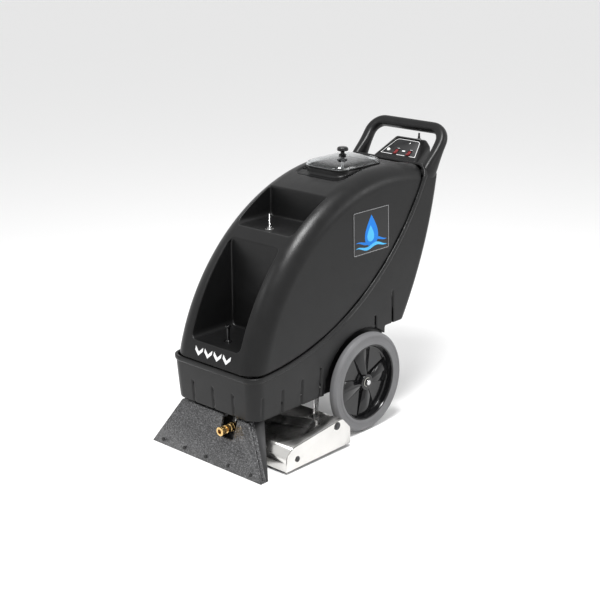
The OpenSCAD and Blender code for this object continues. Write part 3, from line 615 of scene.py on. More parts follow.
def sweep(path: Sequence[Point], sections: Sequence[Sequence[Point]], finish: "Finish", name: str,
          closed: bool = False) -> bpy.types.Object:
    """Skins rings of points along a path.

    Args:
        path: the centre of each ring, in millimetres.
        sections: each ring's points relative to its centre.
        finish: what it is made of.
        name: the object's name.
        closed: whether the last ring joins the first.

    Returns:
        The swept piece.
    """
    n = len(sections[0])
    points = [np.array(c) + np.array(p) for c, ring in zip(path, sections) for p in ring]
    rings = len(path)
    faces = [(i % rings * n + j, (i + 1) % rings * n + j, (i + 1) % rings * n + (j + 1) % n,
              i % rings * n + (j + 1) % n)
             for i in range(rings if closed else rings - 1) for j in range(n)]
    if not closed:
        faces += [tuple(range(n))[::-1], tuple(range((rings - 1) * n, rings * n))]
    piece = solid(name, points, faces, finish)
    repair(piece)
    return shade(piece, 40.0)


def ball(centre: Point, r: float, steps: int = 24) -> list[Point]:
    """Returns the points of a sphere, for hulls."""
    out = []
    for i in range(steps // 2 + 1):
        for j in range(steps):
            lat, lon = math.pi * i / (steps // 2), 2 * math.pi * j / steps
            out.append((centre[0] + r * math.sin(lat) * math.cos(lon),
                        centre[1] + r * math.sin(lat) * math.sin(lon),
                        centre[2] + r * math.cos(lat)))
    return out


def hull(points: Iterable[Point], finish: "Finish", name: str = "hull") -> bpy.types.Object:
    """Returns the convex solid round points in millimetres."""
    work = bmesh.new()
    for p in points:
        work.verts.new(tuple(c * MM for c in p))
    bmesh.ops.remove_doubles(work, verts=work.verts, dist=1e-6)
    made = bmesh.ops.convex_hull(work, input=work.verts)
    loose = {v for v in made["geom_interior"] + made["geom_unused"] if isinstance(v, bmesh.types.BMVert)}
    bmesh.ops.delete(work, geom=list(loose), context="VERTS")
    bmesh.ops.recalc_face_normals(work, faces=work.faces)
    mesh = bpy.data.meshes.new(name)
    work.to_mesh(mesh)
    work.free()
    piece = bpy.data.objects.new(name, mesh)
    bpy.context.scene.collection.objects.link(piece)
    dress(piece, finish)
    return piece


@dataclass
class Moulding:
    """Gives a cut solid the soft edges of a moulded one, and keeps its broad faces true.

    Attributes:
        voxel: grain of the remeshing in millimetres.
        smoothing: how many times the edges are eased.
        faces: how many triangles it keeps.
        near: how near a cut's edge a face stays as eased, in millimetres.
        far: beyond this distance a face lies on the true skin again.
    """

    voxel: float = 2.6
    smoothing: int = 5
    faces: int = 60000
    near: float = 2.5
    far: float = 6.0

    def soften(self, piece: bpy.types.Object, skins: Sequence[bpy.types.Object]) -> bpy.types.Object:
        """Remeshes a piece and puts its broad faces back on the skins it was cut from.

        Args:
            piece: the cut solid.
            skins: the uncut solids that its outside follows; they are used up.

        Returns:
            The piece.
        """
        edges = self._sharp_edges(piece)
        remesh = piece.modifiers.new("remesh", "REMESH")
        remesh.mode = "VOXEL"
        remesh.voxel_size = self.voxel * MM
        ease = piece.modifiers.new("ease", "SMOOTH")
        ease.factor = 0.5
        ease.iterations = self.smoothing
        settle(piece)
        triangles = 2 * len(piece.data.polygons)
        thin = piece.modifiers.new("thin", "DECIMATE")
        thin.ratio = min(1.0, self.faces / max(1, triangles))
        settle(piece)
        piece.data.shade_smooth()
        self._true_up(piece, skins, edges)
        for skin in skins:
            discard(skin)
        return piece

    def _sharp_edges(self, piece: bpy.types.Object) -> KDTree:
        """Returns points along a solid's sharp edges, ready to be searched."""
        work = bmesh.new()
        work.from_mesh(piece.data)
        marks = []
        for edge in work.edges:
            if edge.calc_face_angle(0.0) > math.radians(30.0):
                a, b = edge.verts[0].co, edge.verts[1].co
                count = max(1, int((b - a).length / (2.0 * MM)))
                marks += [a.lerp(b, i / count) for i in range(count + 1)]
        work.free()
        tree = KDTree(len(marks))
        for i, mark in enumerate(marks):
            tree.insert(mark, i)
        tree.balance()
        return tree

    def _true_up(self, piece: bpy.types.Object, skins: Sequence[bpy.types.Object], edges: KDTree) -> None:
        """Moves a piece's points, and turns their normals, onto the skins where no cut is near."""
        trees = []
        for skin in skins:
            work = bmesh.new()
            work.from_mesh(skin.data)
            bmesh.ops.triangulate(work, faces=work.faces)
            work.normal_update()
            corners = [[(v.co.copy(), v.normal.copy()) for v in f.verts] for f in work.faces]
            trees.append((BVHTree.FromBMesh(work), corners))
            work.free()
        normals = [v.normal.copy() for v in piece.data.vertices]
        for vert in piece.data.vertices:
            for tree, faces in trees:
                spot, _, index, gap = tree.find_nearest(vert.co, 1.5 * self.voxel * MM)
                if spot is None or gap > 0.6 * self.voxel * MM:
                    continue
                away = edges.find(vert.co)[2] / MM
                share = min(1.0, max(0.0, (away - self.near) / (self.far - self.near)))
                if share <= 0.0:
                    continue
                (a, na), (b, nb), (c, nc) = faces[index]
                wa, wb, wc = barycentric(spot, a, b, c)
                true_normal = na * wa + nb * wb + nc * wc
                if true_normal.dot(normals[vert.index]) < 0.3:
                    continue
                vert.co = vert.co.lerp(spot, share)
                normals[vert.index] = normals[vert.index].lerp(true_normal, share).normalized()
                break
        piece.data.normals_split_custom_set_from_vertices(normals)


def barycentric(p: Vector, a: Vector, b: Vector, c: Vector) -> tuple[float, float, float]:
    """Returns how much of each corner a point in a triangle is."""
    across = (b - a).cross(c - a)
    size = across.length_squared
    if size < 1e-20:
        return 1.0, 0.0, 0.0
    wb = (c - a).cross(a - p).dot(across) / size
    wc = (a - b).cross(a - p).dot(across) / size
    return 1.0 - wb - wc, wb, wc


# ---------------------------------------------------------------- the moulded body
@dataclass(frozen=True)
class BodyForm:
    """The pillow-shaped outside of the base and tank, in millimetres.

    Attributes:
        arc: centre (y, z) and radius of the arc over the front and top.
        back: centre (y, z) and radius of the arc down the back.
        half_w: half-width where it is widest.
        wide_z: height at which it is widest.
        base_z: height of the base's bottom edge.
        base_draft: how much narrower each side is at the bottom edge.
        tank_draft: how much narrower each side is 400 mm above the widest height.
        front_z: height below which the front is straight.
        foot_z: height at which the outline is closed, below the base's edge.
        back_foot_z: height below which the back is straight.
        front_lean: how far the straight front leans back, per millimetre down.
        rear_corner: radius of the corners between the sides and the back.
        seam: centre (y, z) and radius of the seam's arc.
    """

    arc: tuple[float, float, float] = (175.0, 156.0, 622.0)
    back: tuple[float, float, float] = (-796.0, 947.0, 1215.0)
    half_w: float = 171.0
    wide_z: float = 300.0
    base_z: float = 148.0
    base_draft: float = 5.0
    tank_draft: float = 11.0
    front_z: float = 275.0
    foot_z: float = 60.0
    back_foot_z: float = 205.0
    front_lean: float = 0.079
    rear_corner: float = 26.0
    seam: tuple[float, float, float] = (-431.0, 1125.0, 846.0)
    middle: tuple[float, float] = (20.0, 430.0)
    arc_steps: int = 110
    back_steps: int = 40
    corner_steps: int = 14

    def width(self, z: np.ndarray) -> np.ndarray:
        """Returns the half-width at each height."""
        low = self.half_w - self.base_draft * ((self.wide_z - z) / (self.wide_z - self.base_z)) ** 2
        return np.where(z < self.wide_z, low, self.half_w - self.tank_draft * (z - self.wide_z) / 400.0)

    def top(self, y: float) -> float:
        """Returns the height of the top surface above a place along Y."""
        return self.arc[1] + math.sqrt(self.arc[2] ** 2 - (y - self.arc[0]) ** 2)

    def seam_height(self, y: float) -> float:
        """Returns the seam's height at a place along Y."""
        return self.seam[1] - math.sqrt(self.seam[2] ** 2 - (y - self.seam[0]) ** 2)

    def outline(self, k: float, back_k: float) -> np.ndarray:
        """Returns the side view's outline.

        Args:
            k: how far inside the front and top it is.
            back_k: how far inside the back it is.

        Returns:
            Its (y, z) points.
        """
        c1, r1 = np.array(self.arc[:2]), self.arc[2] - k
        c2, r2 = np.array(self.back[:2]), self.back[2] - back_k
        gap = np.linalg.norm(c2 - c1)
        along = (r1 * r1 - r2 * r2 + gap * gap) / (2 * gap)
        unit = (c2 - c1) / gap
        meet = c1 + along * unit + math.sqrt(r1 * r1 - along * along) * np.array([unit[1], -unit[0]])
        start = math.pi - math.asin((self.front_z - c1[1]) / r1)
        end = math.atan2(*(meet - c1)[::-1])
        fall = math.atan2(*(meet - c2)[::-1])
        foot = math.asin((self.back_foot_z - c2[1]) / r2)
        front = np.array([[c1[0] + r1 * math.cos(a), c1[1] + r1 * math.sin(a)]
                          for a in np.linspace(start, end, self.arc_steps + 1)])
        rear = np.array([[c2[0] + r2 * math.cos(a), c2[1] + r2 * math.sin(a)]
                         for a in np.linspace(fall, foot, self.back_steps + 1)[1:]])
        toe = [front[0][0] + self.front_lean * (self.front_z - self.foot_z), self.foot_z]
        rise = np.array([[toe[0] + (front[0][0] - toe[0]) * t, toe[1] + (front[0][1] - toe[1]) * t]
                         for t in np.linspace(0, 1, 12)[:-1]])
        drop = np.array([[rear[-1][0], rear[-1][1] + (self.foot_z - rear[-1][1]) * t]
                         for t in np.linspace(0, 1, 9)[1:]])
        return np.concatenate([rise, front, rear, drop])

    def pillow(self, k: float, corner: float, finish: Finish, name: str = "pillow") -> bpy.types.Object:
        """Makes the whole body as one smooth solid.

        Args:
            k: how far inside the widest body it is.
            corner: radius of the corners between the sides and the front and top.
            finish: what it is made of.
            name: the object's name.

        Returns:
            The solid.
        """
        r, rear = corner - k, self.rear_corner - k
        rings = []
        for t in np.linspace(0, math.pi / 2, self.corner_steps + 1):
            inside = r - r * math.sin(t)
            back = 0.0 if inside >= rear else rear - math.sqrt(rear ** 2 - (rear - inside) ** 2)
            rings.append((k + r * (1 - math.cos(t)), k + inside, k + back, 1.0))
        rings += [(k + r, k, k + rear, size) for size in (0.985, 0.93, 0.85, 0.75, 0.63, 0.5, 0.36, 0.22,
                                                          0.1)]
        order = [(h, 1) for h in rings[::-1]] + [(h, -1) for h in rings]
        points: list[Point] = []
        for (front, side, back, size), sign in order:
            plan = self.outline(front, back)
            y = self.middle[0] + size * (plan[:, 0] - self.middle[0])
            z = self.middle[1] + size * (plan[:, 1] - self.middle[1])
            points += list(zip(sign * (self.width(z) - side), y, z))
        n = len(points) // len(order)
        middle_x = float(self.width(np.array([self.middle[1]]))[0]) - k
        points += [(middle_x, *self.middle), (-middle_x, *self.middle)]
        faces = []
        for i in range(len(order) - 1):
            for j in range(n):
                a, b = i * n + j, i * n + (j + 1) % n
                faces.append((a, b, b + n, a + n))
        last = (len(order) - 1) * n
        faces += [(len(points) - 2, (j + 1) % n, j) for j in range(n)]
        faces += [(len(points) - 1, last + j, last + (j + 1) % n) for j in range(n)]
        piece = solid(name, points, faces, finish)
        repair(piece)
        piece.data.shade_smooth()
        return piece

    def seam_drum(self, gap: float) -> bpy.types.Object:
        """Returns the drum whose outside, drawn in by a gap, is the seam."""
        return drum(-300.0, 300.0, self.seam[0], self.seam[1], self.seam[2] - gap, 720)


def drum(x0: float, x1: float, y: float, z: float, r: float, steps: int = 96) -> bpy.types.Object:
    """Returns a round cutter along X."""
    ring = [(y + r * math.cos(2 * math.pi * i / steps), z + r * math.sin(2 * math.pi * i / steps))
            for i in range(steps)]
    return prism(ring, "X", x0, x1, BLACK_SHELL)


def block(x0: float, x1: float, y0: float, y1: float, z0: float, z1: float) -> bpy.types.Object:
    """Returns a square cutter."""
    return prism([(x0, y0), (x1, y0), (x1, y1), (x0, y1)], "Z", z0, z1, BLACK_SHELL)


def tunnel(hw: float, y0: float, y1: float, z0: float, z1: float, r_low: float,
           r_top: float) -> bpy.types.Object:
    """Returns a cutter along Y with rounded edges, of one radius below and another above."""
    outline = [(hw - r_low + r_low * math.cos(a), z0 + r_low + r_low * math.sin(a))
               for a in np.linspace(-math.pi / 2, 0, 9)]
    outline += [(hw - r_top + r_top * math.cos(a), z1 - r_top + r_top * math.sin(a))
                for a in np.linspace(0, math.pi / 2, 9)]
    outline += [(-x, z) for x, z in outline[::-1]]
    return prism(outline, "Y", y0, y1, BLACK_SHELL)


def round_block(hw: float, y0: float, y1: float, z0: float, z1: float, r: float) -> bpy.types.Object:
    """Returns a cutter with rounded upright edges."""
    return prism(rounded_rect(0, (y0 + y1) / 2, hw, (y1 - y0) / 2, r), "Z", z0, z1, BLACK_SHELL)


@dataclass
class BaseShell:
    """The ribbed base under the seam.

    Attributes:
        form: the body's form.
        corner: radius of its front corners.
        wall: wall thickness.
        lip_proud: how far the lip stands out from the ribbed band.
        lip_h: height of the lip.
        arch_x: where the wheel arches start.
        arch_gap: space round a tyre in its arch.
        belly_y: where the low part ends.
        belly_z: height of the high part behind it.
        groove_r: radius of the grooves.
        groove_pitch: distance between grooves.
    """

    form: BodyForm = field(default_factory=BodyForm)
    corner: float = 42.0
    wall: float = 5.5
    lip_proud: float = 3.5
    lip_h: float = 13.0
    arch_x: float = 155.0
    arch_gap: float = 9.0
    belly_y: float = 131.0
    belly_z: float = 297.0
    groove_r: float = 4.2
    groove_pitch: float = 80.0

    def build(self) -> bpy.types.Object:
        """Returns the finished base."""
        form = self.form
        inside = self.lip_proud + self.wall
        band = form.pillow(self.lip_proud, self.corner, BLACK_SHELL, "base")
        core = form.pillow(inside, self.corner, BLACK_SHELL)
        axle_y, axle_z, tyre_r = wheel_place("left_tyre")
        reach = tyre_r + self.arch_gap
        combine(core, [block(-300, 300, self.belly_y - self.wall, 600, 0, self.belly_z + self.wall),
                       drum(self.arch_x - self.wall, 200, axle_y, axle_z, reach + self.wall),
                       drum(-200, self.wall - self.arch_x, axle_y, axle_z, reach + self.wall)])
        combine(band, [core])
        lip = form.pillow(0.0, self.corner, BLACK_SHELL)
        combine(lip, [form.seam_drum(-self.lip_h)], "INTERSECT")
        combine(lip, [form.pillow(inside, self.corner, BLACK_SHELL)])
        combine(band, [lip], "UNION")
        combine(band, [form.seam_drum(0.0), block(-300, 300, self.belly_y, 600, 0, self.belly_z),
                       block(-300, 300, -600, 600, 0, form.base_z)])
        for sign in (-1, 1):
            ends = sorted((sign * self.arch_x, sign * 200.0))
            combine(band, [drum(ends[0], ends[1], axle_y, axle_z, reach, 128)])
            ends = sorted((sign * 120.0, sign * 200.0))
            combine(band, [drum(ends[0], ends[1], axle_y, axle_z, 11.5)])
        combine(band, self._grooves())
        skins = [form.pillow(self.lip_proud, self.corner, BLACK_SHELL),
                 form.pillow(0.0, self.corner, BLACK_SHELL)]
        Moulding(voxel=2.3, smoothing=4, faces=90000, near=2.0, far=5.0).soften(band, skins)
        band.name = "base"
        return install(band, ["base_shell"])

    def _grooves(self) -> list[bpy.types.Object]:
        """Returns the cutters of the band's upright grooves."""
        form, ends = self.form, []
        wall_w = self.lip_proud - 0.4
        front = form.arc[0] - math.sqrt(form.arc[2] ** 2 - (form.front_z - form.arc[1]) ** 2) + wall_w
        for x in (-self.groove_pitch, 0.0, self.groove_pitch):
            ends.append(((x, front + form.front_lean * (form.front_z - form.base_z), form.base_z - 10),
                         (x, front + form.front_lean * 60, 215.0)))
        turn = self.corner * (1 - math.cos(math.radians(45)))
        low_w, mid_w = form.width(np.array([form.base_z, 215.0]))
        side = [((low_w - turn, front + turn + 8, form.base_z - 10), (mid_w - turn, front + turn + 3, 215.0))]
        for i in range(8):
            y = -394.0 + self.groove_pitch * i
            top_z = form.seam_height(y) - 65 - 65 * ((y + 394.0) / 567) ** 1.3
            high_w = float(form.width(np.array([top_z]))[0])
            side.append(((low_w - wall_w, y, form.base_z - 10), (high_w - wall_w, y, top_z)))
        ends += side + [tuple((-p[0], p[1], p[2]) for p in pair) for pair in side]
        return [hull(ball(a, self.groove_r, 16) + ball(b, self.groove_r, 16), BLACK_SHELL) for a, b in ends]


@dataclass
class TankShell:
    """The recovery tank, with its bay, tray, lid pad, vents and filling mouth.

    Attributes:
        form: the body's form.
        step: how far it stands back from the lip.
        wall: wall thickness.
        shoulder: radius of its shoulders.
    """

    form: BodyForm = field(default_factory=BodyForm)
    step: float = 6.0
    wall: float = 6.0
    shoulder: float = 60.0
    bay: tuple[float, ...] = (97.0, -250.0, 335.0, 609.0)
    tray: tuple[float, ...] = (110.0, -74.0, 629.0)
    pad_depth: float = 4.0
    rim_z: float = 768.0

    def _bay(self, g: float = 0.0) -> bpy.types.Object:
        """Returns the front bay's cutter, grown by g."""
        hw, back, low, high = self.bay
        return tunnel(hw + g, -600, back + g, low - g, high + g, 18 + g, 28 + g)

    def _tray(self, g: float = 0.0) -> bpy.types.Object:
        """Returns the tray's cutter, grown by g."""
        hw, back, low = self.tray
        return tunnel(hw + g, -600, back + g, low - g, 900, 16 + g, 20 + g)

    def build(self) -> bpy.types.Object:
        """Returns the finished tank."""
        form = self.form
        dome_low, dome_high = (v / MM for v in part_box("lid_dome"))
        y0, y1, half = dome_low.y, dome_high.y, dome_high.x
        middle, mouth_l, mouth_w = (y0 + y1) / 2, (y1 - y0) / 2 - 12, half - 12
        tank = form.pillow(self.step, self.shoulder, BLACK_SHELL, "tank")
        combine(tank, [form.seam_drum(0.4)], "INTERSECT")
        core = form.pillow(self.step + self.wall, self.shoulder, BLACK_SHELL)
        combine(core, [form.seam_drum(0.4 + self.wall)], "INTERSECT")
        combine(core, [self._bay(self.wall), self._tray(self.wall),
                       round_block(mouth_w + 6, middle - mouth_l - 6, middle + mouth_l + 6, 744, 800, 34)])
        combine(tank, [core, self._bay(), self._tray()])
        pad = round_block(92, 3, 345, 690, 900, 26)
        combine(pad, [form.pillow(self.step + self.pad_depth, self.shoulder, BLACK_SHELL)])
        combine(tank, [pad] + self._vents())
        combine(tank, [round_block(half - 1, y0 + 1, y1 - 1, 750, self.rim_z, 36)], "UNION")
        combine(tank, [round_block(mouth_w, middle - mouth_l, middle + mouth_l, 700, 900, 30)])
        skins = [form.pillow(self.step, self.shoulder, BLACK_SHELL)]
        Moulding(voxel=2.3, smoothing=6, faces=90000, near=3.0, far=8.0).soften(tank, skins)
        tank.name = "tank"
        return install(tank, ["tank_shell"])

    def _vents(self) -> list[bpy.types.Object]:
        """Returns the cutters of the cooling slots behind the lid."""
        slots = []
        for i in range(-4, 5):
            y = 318 - 1.1 * i * i
            z = self.form.top(y) - 3.5
            slots.append(hull(ball((i * 15, y - 9, z + 1.8), 2.4, 12)
                              + ball((i * 15, y + 9, z - 1.8), 2.4, 12), BLACK_SHELL))
        return slots


def wheel_place(node: str) -> tuple[float, float, float]:
    """Returns a wheel's centre (y, z) and radius in millimetres, from its tyre."""
    low, high = (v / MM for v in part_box(node))
    return (low.y + high.y) / 2, (low.z + high.z) / 2, (high.z - low.z) / 2


@dataclass
class Handle:
    """The loop handle, a soft tube that widens into the base's rear corners.

    Attributes:
        tube: how far the bar's middle line lies inside the CAD handle's box.
        half: half the bar's thickness.
        down: direction of a leg, seen from the side.
        bend: radius of the bends.
        sections: distance down a leg and the half-thickness there.
        squareness: 2 for a round section, more for a squarer one.
    """

    tube: float = 17.0
    half: float = 16.8
    down: tuple[float, float, float] = (0.0, -0.584, -0.8115)
    bend: float = 46.5
    sections: tuple[tuple[float, float], ...] = ((60.0, 16.8), (90.0, 20.6), (106.0, 24.5), (123.0, 28.0),
                                                 (145.0, 31.0),
                                                 (172.0, 32.0))
    squareness: float = 2.5

    def build(self) -> bpy.types.Object:
        """Returns the finished handle."""
        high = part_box("handle_loop")[1] / MM
        x, y, z = (v - self.tube for v in high)
        down = np.array(self.down)
        path: list[np.ndarray] = [np.array([t * (x - self.bend), y, z]) for t in (0.0, 0.33, 0.66)]
        sizes = [self.half] * 3
        turns = [np.array([1.0, 0.0, 0.0])] * 3
        centre = np.array([x - self.bend, y, z])
        for a in np.linspace(0, math.pi / 2, 13):
            path.append(centre + self.bend * (math.sin(a) * np.array([1, 0, 0]) + (1 - math.cos(a)) * down))
            turns.append(math.cos(a) * np.array([1, 0, 0]) + math.sin(a) * down)
            sizes.append(self.half)
        for distance, size in self.sections:
            path.append(np.array([x, y, z]) + distance * down)
            turns.append(down)
            sizes.append(size)
        path = [p * np.array([-1, 1, 1]) for p in path[:0:-1]] + path
        turns = [t * np.array([1, -1, -1]) for t in turns[:0:-1]] + turns
        sizes = sizes[:0:-1] + sizes
        rings = [self._ring(t, s) for t, s in zip(turns, sizes)]
        piece = sweep(path, rings, BLACK_SHELL, "handle")
        smooth = piece.modifiers.new("smooth", "SUBSURF")
        smooth.levels = smooth.render_levels = 1
        settle(piece)
        piece.data.shade_smooth()
        return install(piece, ["handle_loop"])

    def _ring(self, along: np.ndarray, size: float) -> list[Point]:
        """Returns the section across a direction, size thick seen from the side."""
        across = np.cross(along, np.cross(np.array([1.0, 0, 0]), np.array(self.down)))
        across = across / np.linalg.norm(across)
        out = np.cross(along, across)
        ring = []
        for i in range(24):
            a = 2 * math.pi * i / 24
            c, s = math.cos(a), math.sin(a)
            p = 2 / self.squareness
            ring.append(across * self.half * math.copysign(abs(c) ** p, c)
                        + out * size * math.copysign(abs(s) ** p, s))
        return ring


# ---------------------------------------------------------------- wheels
@dataclass
class Wheel:
    """A plastic wheel with a solid grey tyre and four ridged blades.

    Attributes:
        side: left or right, as in the CAD names.
        rim_r: radius of the rim.
        blade_half: half the angle of a blade in degrees.
        first_blade: bearing of the first blade's ridge in degrees.
    """

    side: str
    rim_r: float = 116.0
    blade_half: float = 21.5
    first_blade: float = 7.0
    blades: int = 4

    def build(self) -> None:
        """Makes the tyre, the rim and its dressing."""
        low, high = (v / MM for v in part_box(f"{self.side}_tyre"))
        y, z, r = wheel_place(f"{self.side}_tyre")
        sign = 1.0 if self.side == "left" else -1.0
        inner, outer = (low.x, high.x) if sign > 0 else (-high.x, -low.x)
        centre = (0.0, y, z)
        axis = "X" if sign > 0 else "-X"
        self._tyre(inner, outer, r, centre, axis)
        self._rim(inner, outer, centre, axis, sign)

    def _tyre(self, inner: float, outer: float, r: float, centre: Point, axis: str) -> None:
        """Makes the tyre with a raised band on its wall and rounded shoulders."""
        corners = [(self.rim_r, inner + 1), (self.rim_r + 2, inner), (r - 7, inner), (r - 0.2, inner + 8),
                   (r, (inner + outer) / 2), (r - 0.2, outer - 8), (r - 7, outer), (r - 12, outer - 0.4),
                   (r - 13, outer - 1.6),
                   (self.rim_r + 9, outer - 1.6), (self.rim_r + 8, outer - 0.2),
                   (self.rim_r + 2, outer - 0.2),
                   (self.rim_r, outer - 1.2)]
        radii = [0, 2, 6, 6, 0, 6, 6, 1, 0.8, 0.8, 0.8, 1.5, 0]
        tyre = lathe(fillet(corners, radii, 5), centre, axis, GREY_TYRE, f"{self.side} tyre", 160)
        shade(tyre, 45.0)
        install(tyre, [f"{self.side}_tyre"])

    def _rim(self, inner: float, outer: float, centre: Point, axis: str, sign: float) -> None:
        """Makes the barrel, the hub and the ridged blades."""
        hub_x = outer - 6.4
        r = self.rim_r - 0.2
        corners = [(r, inner + 1), (r, outer - 1.2), (r - 3.5, outer - 1), (r - 5, outer - 4),
                   (r - 8.5, inner + 8),
                   (r - 12, inner + 6), (30, inner + 6), (27, inner + 8), (24, hub_x), (14.1, hub_x),
                   (14.1, inner - 5.5),
                   (27.5, inner - 5.5), (28, inner + 2), (r - 6, inner + 2)]
        radii = [0, 1.2, 1.2, 2, 3, 3, 2, 2, 2, 0.6, 0.5, 1, 1, 1]
        barrel = lathe(fillet(corners, radii, 4), centre, axis, GLOSS_BLACK, f"{self.side} rim", 128)
        parts = [barrel]
        for i in range(self.blades):
            bearing = math.radians(self.first_blade + 360.0 / self.blades * i)
            parts.append(self._blade(bearing, inner, hub_x, centre, sign))
        rim = join(parts, f"{self.side} rim")
        install(rim, [f"{self.side}_rim"])

    def _blade(self, bearing: float, inner: float, hub_x: float, centre: Point,
               sign: float) -> bpy.types.Object:
        """Returns one blade: two flats that meet at a ridge from the hub to the rim."""
        half = math.radians(self.blade_half)

        def spot(r: float, a: float, x: float) -> Point:
            """Returns the point at a radius, a bearing and a distance along the axle."""
            return (sign * x, centre[1] + r * math.cos(bearing + a), centre[2] + r * math.sin(bearing + a))

        floor, edge = inner + 4.5, inner + 8.0
        near, far = 22.0, self.rim_r - 9.0
        points = [
            spot(near, -half * 1.4, floor), spot(near, half * 1.4, floor), spot(far, half, floor),
            spot(far, -half, floor),
            spot(near, -half * 1.4, edge + 6), spot(near, half * 1.4, edge + 6), spot(far, half, edge),
            spot(far, -half, edge),
            spot(near, 0.0, hub_x - 0.4), spot(far + 1, 0.0, edge + 3.5),
        ]
        faces = [(0, 1, 2, 3), (0, 4, 8, 5, 1), (3, 2, 6, 9, 7), (1, 5, 6, 2), (0, 3, 7, 4), (4, 7, 9, 8),
                 (8, 9, 6, 5)]
        blade = solid("blade", points, faces, GLOSS_BLACK)
        repair(blade)
        return chamfer(blade, 1.2, 3, 12.0)


# ---------------------------------------------------------------- vacuum shoe
@dataclass
class Shoe:
    """The vacuum shoe: a front plate, a gasket and a rear body.

    Attributes:
        half_low: half-width along the floor.
        half_top: half-width along the top.
        height: height of the shoe.
        front_y: the floor edge's place.
        top_y: the top edge's place.
        plate: thickness of the front plate.
    """

    half_low: float = 223.0
    half_top: float = 135.0
    height: float = 142.0
    front_y: float = -462.0
    top_y: float = -420.0
    plate: float = 8.0
    strip: float = 12.0

    def _slab(self, y0: float, y1: float, t0: float, t1: float, finish: Finish, inset: float = 0.0,
              cut: float = 0.0,
              low: float = 0.0) -> bpy.types.Object:
        """Returns a slice of the shoe.

        Args:
            y0: its front along the floor.
            y1: its front along the top.
            t0: its thickness along the floor.
            t1: its thickness along the top.
            finish: what it is made of.
            inset: how much narrower each side is.
            cut: how much lower its top is.
            low: height of its bottom.

        Returns:
            The slab.
        """
        lo, hi, h = self.half_low - inset, self.half_top - inset, self.height - cut
        points = [(-lo, y0, low), (lo, y0, low), (lo, y0 + t0, low), (-lo, y0 + t0, low),
                  (-hi, y1, h), (hi, y1, h), (hi, y1 + t1, h), (-hi, y1 + t1, h)]
        slab = solid("slab", points, [(0, 3, 2, 1), (4, 5, 6, 7), (0, 1, 5, 4), (1, 2, 6, 5),
                                      (2, 3, 7, 6), (3, 0, 4, 7)], finish)
        repair(slab)
        return slab

    def _notch(self) -> bpy.types.Object:
        """Returns the cutter of the notch round the coupler."""
        x = (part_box("coupler_body")[0].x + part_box("coupler_body")[1].x) / 2 / MM
        outline = [(x - 30, 170), (x - 30, 132), (x - 28, 100), (x - 28, 82), (x + 26, 82), (x + 26, 100),
                   (x + 28, 132),
                   (x + 28, 170)]
        return prism(fillet(outline, [0, 0, 0, 18, 18, 0, 0, 0], 8)[::-1], "Y", -600, 600, BLACK_POWDER)

    def build(self) -> None:
        """Makes the three pieces."""
        front = self._slab(self.front_y, self.top_y, self.plate, self.plate, BLACK_POWDER)
        combine(front, [self._notch()])
        chamfer(front, 1.0, 3)
        front.name = "shoe front plate"
        install(front, ["shoe_front_plate"])
        back_low, back_top = self.front_y + self.plate + 2.2, self.top_y + self.plate + 2.2
        strip = self._slab(back_low, back_top, self.strip, self.strip, BLACK_POWDER)
        rear = self._slab(back_low + self.strip - 0.2, back_top + self.strip - 0.2, 8.2, 42.2,
                          SATIN_BLACK, 1.2, 0.5)
        for part in (strip, rear):
            mouth = self._slab(back_low - 4, back_top - 4, 13, 40, SATIN_BLACK, 12, 10, -0.5)
            combine(part, [mouth, self._notch()])
        chamfer(strip, 1.0, 3)
        chamfer(rear, 3.0, 4)
        body = join([strip, rear], "shoe rear body")
        install(body, ["shoe_rear_body"])


# ---------------------------------------------------------------- coupler
@dataclass
class Coupler:
    """The brass quick coupler, with its knurled sliding sleeve.

    Attributes:
        ribs: ribs round the sleeve.
        bore: radius of the socket.
    """

    ribs: int = 24
    bore: float = 6.5

    def build(self) -> None:
        """Makes the body and the sleeve."""
        low, high = (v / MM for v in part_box("coupler_body"))
        centre = ((low.x + high.x) / 2, 0.0, (low.z + high.z) / 2)
        tip = low.y
        profile = [(self.bore, tip + 23), (self.bore, tip + 0.8), (self.bore + 0.8, tip + 0.1),
                   (8.2, tip + 0.1),
                   (8.8, tip + 0.9), (8.8, tip + 24), (11.3, tip + 25), (11.3, tip + 34),
                   (10.2, tip + 35), (10.2, tip + 38),
                   (11.3, tip + 39), (11.3, tip + 47.5), (9, tip + 48), (0, tip + 48), (0, tip + 24)]
        body = lathe(profile, centre, "Y", BRASS, "coupler body", 64)
        nut = lathe([(0, tip + 48), (12.4, tip + 48), (13.2, tip + 49), (13.2, tip + 58.5),
                     (12.2, tip + 59.7), (0, tip + 59.7)],
                    centre, "Y", BRASS, "nut", 6)
        shade(nut, 20.0)
        install(join([body, nut], "coupler body"), ["coupler_body"])
        s_low, s_high = (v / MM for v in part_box("coupler_sleeve"))
        a, b = s_low.y, s_high.y

        def knurl(angle: float, h: float) -> float:
            """Returns how far a rib stands out at an angle, between the plain ends."""
            if not a + 5.0 < h < b - 1.2:
                return 1.0
            return 0.965 + 0.03 * math.cos(self.ribs * angle)

        rows = [(9.1, b), (9.1, a), (10.6, a), (12.9, a + 0.8), (13.1, a + 2), (13.1, a + 3.4),
                (12.0, a + 4.2), (12.0, a + 5.0),
                (12.5, a + 5.6)]
        rows += [(12.5, t) for t in np.linspace(a + 6.4, b - 2.0, 6)]
        rows += [(12.2, b - 0.9), (11.4, b)]
        sleeve = lathe(rows, centre, "Y", BRASS, "coupler sleeve", 192, knurl)
        install(sleeve, ["coupler_sleeve"])


